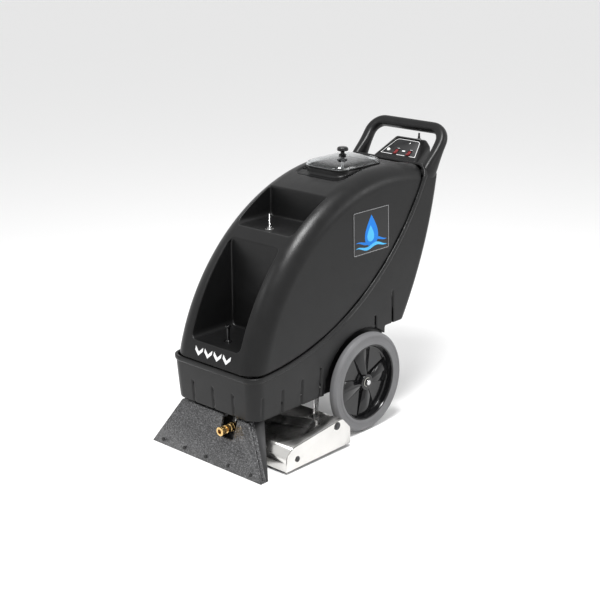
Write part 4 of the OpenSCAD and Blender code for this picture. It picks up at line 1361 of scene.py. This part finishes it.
# ---------------------------------------------------------------- brush deck
@dataclass
class Deck:
    """The folded stainless cover over the brush, with its end plates, hangers and bristles.

    Attributes:
        sheet: thickness of the cover.
        plate: thickness of an end plate.
        outline: the side view's corners (y, z), from the front's foot round to the back's.
        bends: the bend radius at each corner.
        strip_z: height at which the front's lower strip ends.
    """

    sheet: float = 2.0
    plate: float = 3.0
    outline: tuple[Point, ...] = ((-372, 8), (-368, 49), (-345, 72), (-147, 96), (-136, 96), (-102, 61),
                                  (-101, 12))
    bends: tuple[float, ...] = (0, 5, 8, 5, 5, 8, 0)
    strip_z: float = 49.0

    def _inner(self, line: Sequence[Point]) -> list[Point]:
        """Returns an open line moved one sheet to its right."""
        path = np.array(line, float)
        step = np.gradient(path, axis=0)
        step /= np.linalg.norm(step, axis=1)[:, None]
        return [tuple(p + self.sheet * np.array([d[1], -d[0]])) for p, d in zip(path, step)]

    def build(self) -> None:
        """Makes the cover, its ends, the hangers and the bristles."""
        low, high = (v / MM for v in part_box("deck_cover"))
        line = fillet(self.outline, self.bends, 5)
        split = next(i for i, p in enumerate(line) if p[1] > self.strip_z - 2.0)
        upper = [(line[split][0], self.strip_z)] + line[split + 1:]
        inner = self._inner(upper)
        cover = prism(upper + inner[::-1], "X", low.x, high.x, STAINLESS, "deck cover")
        hanger_low, hanger_high = (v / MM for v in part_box("deck_hangers"))
        y0, y1 = hanger_low.y - 12, hanger_high.y + 12
        for ends in ((140, 164), (-164, -140)):
            combine(cover, [block(ends[0], ends[1], y0, y1, 70, 110)])
        chamfer(cover, 0.5, 2)
        (fy0, fz0), (fy1, _) = self.outline[0], self.outline[1]
        top = self.strip_z - 1.4
        slope = (fy1 - fy0) / (self.strip_z - fz0)
        strip = prism([(fy0 + 1.6, fz0), (fy0 + 3.6, fz0), (fy0 + 3.6 + slope * (top - fz0), top),
                       (fy0 + 1.6 + slope * (top - fz0),
                        top)], "X", low.x + 1, high.x - 1, STAINLESS, "strip")
        chamfer(strip, 0.5, 2)
        install(join([cover, strip], "deck cover"), ["deck_cover"])
        self._end_plates()
        self._hangers()
        self._bristles()

    def _end_plates(self) -> None:
        """Makes the two polished end plates, with a slot and two screws each."""
        _, high = (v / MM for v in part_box("deck_end_plates"))
        parts = []
        for sign in (-1, 1):
            ends = sorted((sign * (high.x - self.plate), sign * high.x))
            plate = prism(fillet(self.outline, self.bends, 5)[::-1], "X", ends[0], ends[1], STAINLESS,
                          "end plate")
            hole = drum(min(ends) - 2, max(ends) + 2, -326.0, 35.0, 8.6, 48)
            bolt = drum(min(ends) - 2, max(ends) + 2, -159.0, 82.0, 5.1, 48)
            combine(plate, [hole, bolt])
            parts.append(chamfer(plate, 0.7, 3))
            for y, z in ((-276.0, 68.0), (-118.0, 40.0)):
                head = lathe([(0, -0.4), (5, -0.4), (5, 0.9), (4, 2.0), (0, 2.4)],
                             (sign * (high.x - 2.6), y, z),
                             "X" if sign > 0 else "-X", ZINC, "screw", 32)
                parts.append(head)
        install(join(parts, "deck end plates"), ["deck_end_plates"])

    def _hangers(self) -> None:
        """Makes the galvanised brackets that the deck swings on."""
        low, high = (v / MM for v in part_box("deck_hangers"))
        parts = []
        for sign in (-1, 1):
            outline = [(low.y, high.z), (low.y, 92), (low.y + 4, low.z + 6), (low.y + 10, low.z),
                       (high.y - 14, low.z),
                       (high.y - 8, low.z + 6), (high.y - 6, 92), (high.y, high.z)]
            ends = sorted((sign * (high.x - 3), sign * high.x))
            arm = prism(fillet(outline, [0, 8, 8, 8, 8, 8, 8, 0], 4)[::-1], "X", ends[0], ends[1], ZINC,
                        "arm")
            chamfer(arm, 0.6, 2)
            ends = sorted((sign * 128.0, sign * (high.x - 0.2)))
            foot = block(ends[0], ends[1], low.y, high.y, high.z - 3, high.z)
            dress(foot, ZINC)
            chamfer(foot, 0.6, 2)
            parts += [arm, foot]
        install(join(parts, "deck hangers"), ["deck_hangers"])

    def _bristles(self) -> None:
        """Makes the tufts, in staggered rows round the brush's core."""
        low, high = (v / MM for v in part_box("brush_bristles"))
        y, z = (low.y + high.y) / 2, 35.0
        outer, inner = (high.y - low.y) / 2 - 0.3, 20.6
        rng = np.random.default_rng(5)
        points: list[Point] = []
        faces: list[tuple[int, ...]] = []
        for row in range(16):
            for k in range(34):
                x = low.x + 7 + (high.x - low.x - 14) * (k + 0.5 * (row % 2)) / 34
                turn = 2 * math.pi * row / 16 + 0.02 * k
                for _ in range(5):
                    sx, st = rng.normal(0, 1.3), rng.normal(0, 0.035)
                    tip = outer - abs(rng.normal(0, 0.6))
                    base = len(points)
                    for r, w in ((inner, 0.7), (tip, 0.8)):
                        lean = 1.0 if r > inner else 0.0
                        for cx, ct in ((-w, 0), (0, w / r), (w, 0), (0, -w / r)):
                            a = turn + ct + st * (0.5 + lean)
                            points.append((min(max(x + cx + sx * (0.5 + lean), low.x), high.x),
                                           y + r * math.cos(a),
                                           z + r * math.sin(a)))
                    faces += [(base, base + 1, base + 5, base + 4), (base + 1, base + 2, base + 6, base + 5),
                              (base + 2, base + 3, base + 7, base + 6), (base + 3, base, base + 4, base + 7),
                              (base + 4, base + 5, base + 6, base + 7)]
        tufts = solid("brush bristles", points, faces, BRISTLE_BLUE)
        install(tufts, ["brush_bristles"])


# ---------------------------------------------------------------- lid
@dataclass
class Lid:
    """The clear dome over the tank's mouth, its gasket and its screw-down knob.

    Attributes:
        corner: radius of its corners in plan.
        skin: thickness of the clear plastic.
    """

    corner: float = 31.0
    skin: float = 2.4

    def build(self) -> None:
        """Makes the dome, gasket, knob and rod."""
        self._dome()
        self._gasket()
        self._knob()

    def _dome(self) -> None:
        """Makes the clear dome: a low crown on an upright rim, with a hole for the rod."""
        low, high = (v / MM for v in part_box("lid_dome"))
        cx, cy = (low.x + high.x) / 2, (low.y + high.y) / 2
        hw, hh, rise = high.x - cx, high.y - cy, high.z - low.z
        knob = (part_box("lid_rod")[0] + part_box("lid_rod")[1]) / 2 / MM
        sizes = [(0.0, 0.0), (0.0, 0.10), (0.012, 0.2)]
        bearings = np.linspace(0.16, math.pi / 2 * 0.93, 14)
        sizes += [(1 - math.cos(a) * 0.985, 0.2 + 0.8 * math.sin(a) ** 0.85) for a in bearings]
        rings: list[list[Point]] = []
        for skin in (0.0, self.skin):
            shell = []
            for inset, up in sizes:
                w, h = (hw - skin) * (1 - inset), (hh - skin) * (1 - inset)
                r = min(self.corner + (min(w, h) - self.corner) * min(1.0, inset * 1.3), min(w, h) * 0.999)
                z = low.z + 0.1 + (rise - 0.4 - skin) * up
                pull = inset ** 2
                plan = rounded_rect(cx + (knob.x - cx) * pull, cy + (knob.y - cy) * pull, w, h, r, 10)
                shell.append([(x, y, z) for x, y in plan])
            shell.append([(knob.x + 4.3 * math.cos(2 * math.pi * (i + 0.5) / len(shell[0])),
                           knob.y + 4.3 * math.sin(2 * math.pi * (i + 0.5) / len(shell[0])),
                           shell[-1][0][2] + 0.1)
                          for i in range(len(shell[0]))])
            rings += shell if skin == 0.0 else shell[::-1]
        dome = sweep([(0, 0, 0)] * len(rings), rings, CLEAR, "lid dome", True)
        shade(dome, 50.0)
        install(dome, ["lid_dome"])

    def _gasket(self) -> None:
        """Makes the black rubber ring under the dome."""
        low, high = (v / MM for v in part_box("lid_gasket"))
        cx, cy, cz = (low + high) / 2
        rings = []
        section = fillet([(0, -1.7), (0, 1.7), (-9, 1.7), (-9, -1.7)], [1.2, 1.2, 0.6, 0.6], 3)
        for out, up in section:
            rings.append([(x, y, cz + up) for x, y in rounded_rect(cx, cy, high.x - cx + out,
                                                                   high.y - cy + out, 31 + out, 10)])
        ring = sweep([(0, 0, 0)] * len(rings), rings, BLACK_RUBBER, "lid gasket", True)
        install(ring, ["lid_gasket"])

    def _knob(self) -> None:
        """Makes the fluted knob and its threaded rod."""
        low, high = (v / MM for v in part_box("lid_knob"))
        x, y = (low.x + high.x) / 2, (low.y + high.y) / 2
        base, top, r = low.z, high.z, high.x - x
        corners = [(0, base), (11.5, base), (12, base + 3.4), (7, base + 5), (5.8, base + 9),
                   (6.6, base + 12.5),
                   (r * 0.98, base + 14.5), (r * 0.99, base + 21), (r * 0.8, top - 1.2), (0, top)]

        def flutes(angle: float, h: float) -> float:
            """Returns how far the grip stands out at an angle."""
            return 1.0 + 0.03 * math.cos(10 * angle) if h > base + 13 else 1.0

        rows = fillet(corners, [0, 1, 1, 2, 3, 2, 2, 3, 3, 0], 4)
        cap = max(p[0] for p in rows) * 1.03
        rows = [(p[0] * min(1.0, r / cap) * 0.995, p[1]) for p in rows]
        knob = lathe(rows, (x, y, 0), "Z", GLOSS_BLACK, "lid knob", 120, flutes)
        install(knob, ["lid_knob"])
        low, high = (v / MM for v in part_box("lid_rod"))
        threads = [(0, low.z), (3.2, low.z)]
        z = low.z + 0.6
        while z < high.z - 1.6:
            threads += [(3.2, z), (3.95, z + 0.55)]
            z += 1.1
        threads += [(3.4, high.z - 0.3), (0, high.z - 0.3)]
        rod = lathe(threads, (x, y, 0), "Z", ZINC, "lid rod", 32)
        install(rod, ["lid_rod"])


# ---------------------------------------------------------------- control pod
@dataclass
class ControlPod:
    """The pod between the handle's legs: its housing, panel, switches, lamp and toggle.

    Attributes:
        low: the panel's lower edge (y, z).
        top: the panel's upper edge (y, z).
        half_w: half-width of the lower edge.
        slant: how far the sides lean in, in degrees.
        corner: radius of the upper corners.
        rockers: the two rockers' places across the panel.
        rocker_v: their place up the panel.
    """

    low: tuple[float, float] = (378.0, 755.1)
    top: tuple[float, float] = (440.0, 796.4)
    half_w: float = 72.0
    slant: float = 19.0
    corner: float = 18.0
    rockers: tuple[float, float] = (-14.0, 36.0)
    rocker_v: float = 14.5
    lamp: tuple[float, float] = (-47.0, 20.0)
    screw: tuple[float, float] = (12.0, 58.0)
    form: BodyForm = field(default_factory=BodyForm)

    def _on_panel(self, u: float, v: float, w: float) -> Point:
        """Returns the point u across the panel, v up it and w out of it."""
        lean = math.atan2(self.top[1] - self.low[1], self.top[0] - self.low[0])
        return (u, self.low[0] + v * math.cos(lean) - w * math.sin(lean),
                self.low[1] + v * math.sin(lean) + w * math.cos(lean))

    def _shape(self, g: float) -> list[Point]:
        """Returns the panel's outline, g proud of it."""
        slant = math.radians(self.slant)
        reach = self.half_w * math.cos(slant)
        length = math.hypot(self.top[0] - self.low[0], self.top[1] - self.low[1])
        v = length - self.corner
        cx = (reach - self.corner - math.sin(slant) * v) / math.cos(slant)
        right = [((reach + g + math.sin(slant) * g) / math.cos(slant), -g)]
        right += [(cx + (self.corner + g) * math.cos(a), v + (self.corner + g) * math.sin(a))
                  for a in np.linspace(slant, math.pi / 2, 12)]
        return right + [(-x, y) for x, y in right[::-1]]

    def _slab(self, outline: Sequence[Point], low: float, high: float, finish: Finish,
              name: str) -> bpy.types.Object:
        """Returns a flat shape lying on the panel."""
        n = len(outline)
        points = [self._on_panel(u, v, w) for w in (low, high) for u, v in outline]
        faces = [tuple(range(n))[::-1], tuple(range(n, 2 * n))]
        faces += [(i, (i + 1) % n, n + (i + 1) % n, n + i) for i in range(n)]
        piece = solid(name, points, faces, finish)
        repair(piece)
        return piece

    def _turned(self, profile: Sequence[Point], u: float, v: float, finish: Finish,
                name: str) -> bpy.types.Object:
        """Returns a turned piece standing on the panel."""
        piece = lathe(profile, (0, 0, 0), "Z", finish, name, 48)
        lean = math.atan2(self.top[1] - self.low[1], self.top[0] - self.low[0])
        place = Matrix.Translation(Vector(self._on_panel(u, v, 0)) * MM) @ Matrix.Rotation(lean, 4, "X")
        piece.data.transform(place)
        return piece

    def build(self) -> None:
        """Makes the housing and everything on it."""
        self._housing()
        self._panel()
        for i, name in enumerate(("right_rocker", "left_rocker")):
            self._rocker(self.rockers[i], name)
        self._toggle()

    def _housing(self) -> None:
        """Makes the soft-edged housing."""
        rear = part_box("control_pod")[1].y / MM
        spots = [((76, 368, 738), 12), ((50, rear - 16, 787), 14), ((58, rear - 18, 776), 16),
                 ((50, rear - 14, 768), 14),
                 ((68, rear - 25, 705), 12), ((64, 380, 676), 11)]
        points = [p for (x, y, z), r in spots for s in (-1, 1) for p in ball((s * x, y, z), r - 0.1, 28)]
        pod = hull(points, BLACK_SHELL, "control pod")
        skin = hull(points, BLACK_SHELL)
        combine(pod, [self.form.pillow(-0.3, 42.0, BLACK_SHELL)])
        combine(pod, [self._slab(self._shape(0.3), -2.0, 60.0, BLACK_SHELL, "pocket")])
        sockets = [self._slab([(u - 7.5, self.rocker_v - 12.5), (u + 7.5, self.rocker_v - 12.5),
                               (u + 7.5, self.rocker_v + 12.5),
                               (u - 7.5,
                                self.rocker_v
                                + 12.5)], -16, 4, BLACK_SHELL, "socket") for u in self.rockers]
        inlet = (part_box("power_inlet")[0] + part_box("power_inlet")[1]) / 2 / MM
        hole = lathe([(0, 0), (14.2, 0), (14.2, 6.0), (16.6, 6.0), (16.6, 30), (0, 30)],
                     (0, inlet.y - 5.2, inlet.z), "Y",
                     BLACK_SHELL, "hole")
        combine(pod, sockets + [hole])
        Moulding(voxel=1.3, smoothing=4, faces=26000, near=1.5, far=4.0).soften(pod, [skin])
        pod.name = "control pod"
        install(pod, ["control_pod"])

    def _panel(self) -> None:
        """Makes the panel with its printed border, bezels, lamp and a fixing screw."""
        plate = self._slab(self._shape(-0.4), -1.8, 0.1, PANEL_BLACK, "panel plate")
        chamfer(plate, 0.4, 2)
        outer = self._slab(self._shape(-3.0), 0.05, 0.28, PRINT_WHITE, "border")
        inner = self._slab(self._shape(-4.5), -0.5, 1.0, PRINT_WHITE, "inner")
        combine(outer, [inner])
        marks = [outer]
        for u in self.rockers:
            marks.append(self._slab([(u - 5, self.rocker_v + 16), (u + 5, self.rocker_v + 16),
                                     (u + 5, self.rocker_v + 17),
                                     (u - 5, self.rocker_v + 17)], 0.05, 0.25, PRINT_WHITE, "mark"))
        middle = sum(self.rockers) / 2
        marks.append(self._slab(rounded_rect(middle, self.rocker_v + 8, 5.5, 2.2, 1.0, 3), 0.05, 0.3,
                                PRINT_WHITE, "mark"))
        marks.append(self._turned([(0, 0), (3.2, 0), (3.2, 0.8), (2.2, 1.6), (0, 1.8)], *self.screw, ZINC,
                                  "screw"))
        install(join([plate] + marks, "panel plate"), ["panel_plate"])
        frames = []
        for u in self.rockers:
            frame_piece = self._slab(rounded_rect(u, self.rocker_v, 8.4, 13.4, 1.4, 4), -14.0, 1.7,
                                     GLOSS_BLACK, "bezel")
            hole = self._slab(rounded_rect(u, self.rocker_v, 6.0, 10.4, 0.6, 3), -12.0, 6.0, GLOSS_BLACK,
                              "hole")
            combine(frame_piece, [hole])
            frames.append(chamfer(frame_piece, 0.4, 2))
        install(join(frames, "switch bezels"), ["switch_bezels"])
        lens = self._turned(fillet([(0, -1.7), (5.8, -1.7), (5.8, 1.1), (5.2, 1.3), (4.6, 3.0), (0, 3.8)],
                                   [0, 0.4, 0.4, 0.3, 1.5, 0], 4), *self.lamp, LAMP_WHITE, "indicator light")
        install(lens, ["indicator_light"])

    def _rocker(self, u: float, node: str) -> None:
        """Makes one rocker with two sloping ends.

        Args:
            u: its place across the panel.
            node: the CAD node that it stands for.
        """
        tilt = math.radians(8.0)
        side = [(-9.4, 2.4), (-8.6, 3.0), (-0.6, 1.1), (0.6, 1.1), (8.6, 3.0), (9.4, 2.4), (8.8, -2.6),
                (-8.8, -2.6)]
        turned = [(v * math.cos(tilt) + w * math.sin(tilt), -v * math.sin(tilt) + w * math.cos(tilt))
                  for v, w in side]
        n = len(turned)
        points = [self._on_panel(u + s * 5.5, self.rocker_v + v, 0.5 + w) for s in (-1, 1) for v, w in turned]
        faces = [tuple(range(n)), tuple(range(n, 2 * n))[::-1]] + [(i, (i + 1) % n, n + (i + 1) % n,
                                                                    n + i) for i in range(n)]
        piece = solid(node.replace("_", " "), points, faces, SWITCH_RED)
        repair(piece)
        chamfer(piece, 0.7, 3, 20.0)
        install(piece, [node])

    def _toggle(self) -> None:
        """Makes the toggle's rubber boot and lever."""
        low, high = (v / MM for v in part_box("toggle_lever"))
        x, y = (low.x + high.x) / 2, (low.y + high.y) / 2
        base, top = low.z + 0.2, high.z - 0.1
        rows = fillet([(0, base), (3.9, base + 0.3), (4.2, base + 3), (3.5, base + 5), (4.1, base + 6.4),
                       (3.3, base + 8.4),
                       (3.7, base + 9.8), (2.8, base + 12), (3.15, base + 16), (2.9, top - 1.0), (0, top)],
                      [0, 1, 1, 0.8, 0.8, 0.8, 0.8, 1.5, 2, 1.5, 0], 3)
        install(lathe(rows, (x, y, 0), "Z", BLACK_RUBBER, "toggle lever", 40), ["toggle_lever"])


# ---------------------------------------------------------------- badges and marks
@dataclass
class Badges:
    """The plain droplet-and-waves badges on the tank's sides, and four chevrons on its front.

    Attributes:
        form: the body's form.
        step: how far the tank stands back from the widest body.
        drop_share: the droplet's size as a share of the badge's half-height.
        core_share: the same for the lighter drop inside it.
        wave_share: a wave's half-width as a share of the badge's.
        wave_gap: height between the two waves.
        chevron_pitch: distance between the chevrons.
        chevron_half: half-width of one.
        chevron_thick: height of an arm.
        chevron_foot: height of the lowest point.
    """

    form: BodyForm = field(default_factory=BodyForm)
    step: float = 6.0
    drop_share: float = 0.7
    core_share: float = 0.36
    wave_share: float = 0.86
    wave_gap: float = 16.0
    chevron_pitch: float = 37.0
    chevron_half: float = 15.0
    chevron_thick: float = 11.0
    chevron_foot: float = 296.0

    def build(self) -> None:
        """Makes the badges and the chevrons."""
        low, high = (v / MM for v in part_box("side_badges"))
        cy, cz = (low.y + high.y) / 2, (low.z + high.z) / 2
        hw, hh = (high.y - low.y) / 2, (high.z - low.z) / 2
        parts = []
        for sign in (-1, 1):
            parts.append(self._relief(rounded_rect(cy, cz, hw, hh, 5, 5), sign, 0.15, 0.6, GLOSS_BLACK))
            parts.append(self._frame(cy, cz, hw - 3.5, hh - 3.5, sign))
            drop = self._droplet(cy, cz - 4, hh * self.drop_share)
            parts.append(self._relief(drop, sign, 0.5, 0.85, BADGE_BLUE))
            small = self._droplet(cy - 4, cz - 10, hh * self.core_share)
            parts.append(self._relief(small, sign, 0.8, 1.02, BADGE_SKY))
            for k, finish in enumerate((BADGE_SKY, BADGE_BLUE)):
                parts.append(self._relief(self._wave(cy, cz - hh * 0.7 + self.wave_gap * k,
                                                     hw * self.wave_share), sign, 0.5, 0.95, finish))
        install(join(parts, "side badges"), ["side_badges"])
        self._chevrons()

    def _frame(self, cy: float, cz: float, hw: float, hh: float, sign: int) -> bpy.types.Object:
        """Returns the thin light line round a badge."""
        outer = self._relief(rounded_rect(cy, cz, hw, hh, 3, 4), sign, 0.3, 0.7, LINE_GREY)
        inner = self._relief(rounded_rect(cy, cz, hw - 0.9, hh - 0.9, 2.4, 4), sign, -1.0, 3.0, LINE_GREY)
        return combine(outer, [inner])

    def _droplet(self, cy: float, cz: float, size: float) -> list[Point]:
        """Returns the outline of a drop of water."""
        out = []
        for i in range(48):
            a = 2 * math.pi * i / 48
            up = math.cos(a)
            out.append((cy + size * 0.86 * math.sin(a) * math.sin(a / 2) ** 1.2, cz + size * (up + 0.12)))
        return out

    def _wave(self, cy: float, cz: float, half: float) -> list[Point]:
        """Returns the outline of a rolling wave band."""

        def edge(t: float, thick: float) -> Point:
            """Returns a point of the band, so far along it and so far from its middle line."""
            return (cy + half * t, cz + 4.5 * math.sin(t * 5.2) + thick * (1 - t * t))

        top = [edge(t, 6.0) for t in np.linspace(-1, 1, 40)]
        low = [edge(t, -4.0) for t in np.linspace(1, -1, 40)[1:-1]]
        return low[::-1] + top[::-1]

    def _relief(self, outline: Sequence[Point], sign: int, low: float, high: float,
                finish: Finish) -> bpy.types.Object:
        """Returns a flat shape on the tank's side.

        Args:
            outline: its (y, z) points.
            sign: 1 for the left side and -1 for the right.
            low: where it starts, out from the side.
            high: where it ends.
            finish: what it is made of.

        Returns:
            The shape, bent to the side.
        """
        n = len(outline)
        points = []
        for out in (low, high):
            for y, z in outline:
                side = float(self.form.width(np.array([z]))[0]) - self.step
                points.append((sign * (side + out), y, z))
        faces = [tuple(range(n))[::-1], tuple(range(n, 2 * n))]
        faces += [(i, (i + 1) % n, n + (i + 1) % n, n + i) for i in range(n)]
        piece = solid("relief", points, faces, finish)
        repair(piece)
        return shade(piece, 30.0)

    def _front(self, z: float) -> float:
        """Returns where the tank's front is at a height."""
        cy, cz, r = self.form.arc
        return cy - math.sqrt((r - self.step) ** 2 - (z - cz) ** 2)

    def _chevrons(self) -> None:
        """Makes the four printed chevrons between the bay and the seam."""
        points: list[Point] = []
        faces: list[tuple[int, ...]] = []
        foot, thick = self.chevron_foot, self.chevron_thick
        for k in range(4):
            centre = -57.0 + self.chevron_pitch * k
            for s in (-1, 1):
                base = len(points)
                tip = centre + s * self.chevron_half
                arm = ((centre, foot), (tip, foot + 14), (tip, foot + 14 + thick), (centre, foot + thick))
                for out in (-0.2, 0.25):
                    for x, z in arm:
                        points.append((x, self._front(z) - out, z))
                faces += [(base, base + 1, base + 2, base + 3), (base + 7, base + 6, base + 5, base + 4)]
                faces += [(base + i, base + 4 + i, base + 4 + (i + 1) % 4, base + (i + 1) % 4)
                          for i in range(4)]
        marks = solid("front chevrons", points, faces, PRINT_WHITE)
        repair(marks)
        install(marks, [], "chassis")


# ---------------------------------------------------------------- small fittings
@dataclass
class Fittings:
    """The small turned pieces: the axle caps, the bay post, the tray stud and the pivot bolts."""

    def build(self) -> None:
        """Makes them all."""
        self._caps()
        self._post()
        self._stud()
        self._bolts()

    def _caps(self) -> None:
        """Makes the domed push-on caps at the axle's ends."""
        _, high = (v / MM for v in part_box("axle_caps"))
        y, z, _ = wheel_place("left_tyre")
        parts = []
        for axis in ("X", "-X"):
            rows = fillet([(0, high.x - 7), (9.6, high.x - 7), (12.9, high.x - 6.2), (12.9, high.x - 3.4),
                           (10.8, high.x - 2.6),
                           (0, high.x - 2.5)], [0, 0, 0.6, 0.8, 0.8, 0], 4)
            parts.append(lathe(rows, (0, y, z), axis, GLOSS_BLACK, "cap", 64))
            rows = fillet([(0, high.x - 3), (8.2, high.x - 3), (7.8, high.x - 0.9), (0, high.x - 0.1)],
                          [0, 0, 1.4, 0], 4)
            parts.append(lathe(rows, (0, y, z), axis, ZINC, "stud", 48))
        install(join(parts, "axle caps"), ["axle_caps"])

    def _post(self) -> None:
        """Makes the dark post on the bay's floor."""
        low, high = (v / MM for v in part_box("bay_post"))
        x, y = (low.x + high.x) / 2, (low.y + high.y) / 2
        rows = fillet([(0, low.z), (10.8, low.z), (10.8, low.z + 2.4), (5.2, low.z + 4),
                       (4.6, low.z + 20), (5, high.z - 8),
                       (8.8, high.z - 5.4), (8.8, high.z - 1.2), (0, high.z)], [0, 0.6, 0.8, 3, 4, 3, 1,
                                                                                1, 0], 4)
        install(lathe(rows, (x, y, 0), "Z", GLOSS_BLACK, "bay post", 48), ["bay_post"])

    def _stud(self) -> None:
        """Makes the threaded stud on the tray, with its washer and nut."""
        low, high = (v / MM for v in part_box("tray_stud"))
        x, y = (low.x + high.x) / 2, (low.y + high.y) / 2
        washer = lathe(fillet([(0, low.z), (12.8, low.z), (12.8, low.z + 1.8), (0, low.z + 1.8)],
                              [0, 0.4, 0.5, 0], 3), (x, y, 0),
                       "Z", ZINC, "washer", 48)
        nut = lathe([(0, low.z + 1.8), (6.2, low.z + 1.8), (6.2, low.z + 6), (5.6, low.z + 6.6),
                     (0, low.z + 6.6)], (x, y, 0), "Z",
                    ZINC, "nut", 6)
        shade(nut, 20.0)
        rows = [(0, low.z + 2)]
        z = low.z + 2.0
        while z < high.z - 1.5:
            rows += [(1.7, z), (2.15, z + 0.5)]
            z += 1.0
        rows += [(1.6, high.z - 0.3), (0, high.z - 0.1)]
        rod = lathe(rows, (x, y, 0), "Z", ZINC, "rod", 24)
        install(join([washer, nut, rod], "tray stud"), ["tray_stud"])

    def _bolts(self) -> None:
        """Makes the deck's dark pivot bolts, with washers under their hexagon heads."""
        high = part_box("deck_pivot_bolts")[1] / MM
        y, z = -159.0, 82.0
        parts = []
        for axis in ("X", "-X"):
            shank = lathe([(0, 145), (4.8, 145.4), (4.8, high.x - 2), (0, high.x - 2)], (0, y, z), axis,
                          DARK_STEEL, "shank", 32)
            washer = lathe(fillet([(0, high.x - 2.9), (11.8, high.x - 2.9), (11.8, high.x - 1.6),
                                   (0, high.x - 1.6)],
                                  [0, 0.4, 0.5, 0], 3), (0, y, z), axis, DARK_STEEL, "washer", 48)
            head = lathe([(0, high.x - 1.7), (7.4, high.x - 1.7), (7.4, high.x - 0.5), (6.6, high.x),
                          (0, high.x)], (0, y, z), axis,
                         DARK_STEEL, "head", 6)
            shade(head, 20.0)
            parts += [shank, washer, head]
        install(join(parts, "deck pivot bolts"), ["deck_pivot_bolts"])


# ---------------------------------------------------------------- studio
@dataclass
class Studio:
    """The floor, the light and the camera.

    Attributes:
        azimuth: the camera's bearing in degrees, from straight ahead towards +X.
        elevation: the camera's height angle in degrees.
        distance: metres from the camera to what it looks at.
        aim: the point that the camera looks at.
        lens: focal length in millimetres on a 36 mm sensor.
        floor_half: half the floor's width in metres.
        floor_tone: how pale the floor is.
        surround: strength of the even light all round.
        lamps: each soft box's name, place, power and width.
    """

    azimuth: float = 42.86
    elevation: float = 17.85
    distance: float = 3.874
    aim: tuple[float, float, float] = (-0.0075, -0.0571, 0.3843)
    lens: float = 78.36
    floor_half: float = 40.0
    floor_tone: float = 0.93
    surround: float = 0.85
    lamps: tuple[tuple[str, tuple[float, float, float], float, float], ...] = (
        ("top", (0.6, -0.6, 2.7), 66.0, 0.7),
        ("key", (-1.2, -2.4, 2.6), 10.0, 0.8),
        ("side", (2.6, 2.2, 1.6), 12.0, 0.9),
    )

    def build(self) -> None:
        """Makes the floor, the lights, the world and the camera."""
        bpy.context.scene.view_settings.view_transform = "Standard"
        self._floor()
        self._world()
        self._lights()
        self._camera()

    def _floor(self) -> None:
        """Makes the pale floor."""
        mesh = bpy.data.meshes.new("floor")
        size = self.floor_half
        corners = [(-size, -size, 0), (size, -size, 0), (size, size, 0), (-size, size, 0)]
        mesh.from_pydata(corners, [], [(0, 1, 2, 3)])
        floor = bpy.data.objects.new("floor", mesh)
        bpy.context.scene.collection.objects.link(floor)
        mat = bpy.data.materials.new("pale_floor")
        mat.use_nodes = True
        shader = mat.node_tree.nodes["Principled BSDF"]
        shader.inputs["Base Color"].default_value = (*[self.floor_tone] * 3, 1.0)
        shader.inputs["Roughness"].default_value = 0.6
        mesh.materials.append(mat)

    def _world(self) -> None:
        """Makes an even white surround."""
        world = bpy.data.worlds.new("surround")
        world.use_nodes = True
        shade = world.node_tree.nodes["Background"]
        shade.inputs["Color"].default_value = (1.0, 1.0, 1.0, 1.0)
        shade.inputs["Strength"].default_value = self.surround
        bpy.context.scene.world = world

    def _lights(self) -> None:
        """Hangs the soft boxes."""
        for name, place, power, size in self.lamps:
            lamp = bpy.data.lights.new(name, "AREA")
            lamp.energy = power
            lamp.size = size
            holder = bpy.data.objects.new(name, lamp)
            holder.location = place
            holder.rotation_euler = (Vector((0, 0, 0.4)) - Vector(place)).to_track_quat("-Z", "Y").to_euler()
            bpy.context.scene.collection.objects.link(holder)

    def _camera(self) -> None:
        """Places the camera."""
        a, e = math.radians(self.azimuth), math.radians(self.elevation)
        back = Vector((math.sin(a) * math.cos(e), -math.cos(a) * math.cos(e), math.sin(e)))
        data = bpy.data.cameras.new("camera")
        data.lens = self.lens
        camera = bpy.data.objects.new("camera", data)
        camera.location = Vector(self.aim) + back * self.distance
        camera.rotation_euler = back.to_track_quat("Z", "Y").to_euler()
        bpy.context.scene.collection.objects.link(camera)
        bpy.context.scene.camera = camera


def dress_frame() -> None:
    """Gives every carried-over CAD node the finish of its slot."""
    slots = {row["node"]: row["material_slot"] for row in frame["record"]["subparts"]}
    for name, node in frame["nodes"].items():
        dress(node, BY_SLOT[slots[name]])


def main() -> None:
    """Builds the machine's looks, one sub-assembly at a time."""
    logging.basicConfig(level=logging.INFO, format="%(message)s")
    dress_frame()
    BaseShell().build()
    TankShell().build()
    Handle().build()
    for side in ("left", "right"):
        Wheel(side).build()
    Shoe().build()
    Coupler().build()
    Deck().build()
    Lid().build()
    ControlPod().build()
    Badges().build()
    Fittings().build()
    Studio().build()


if __name__ == "__main__":
    main()
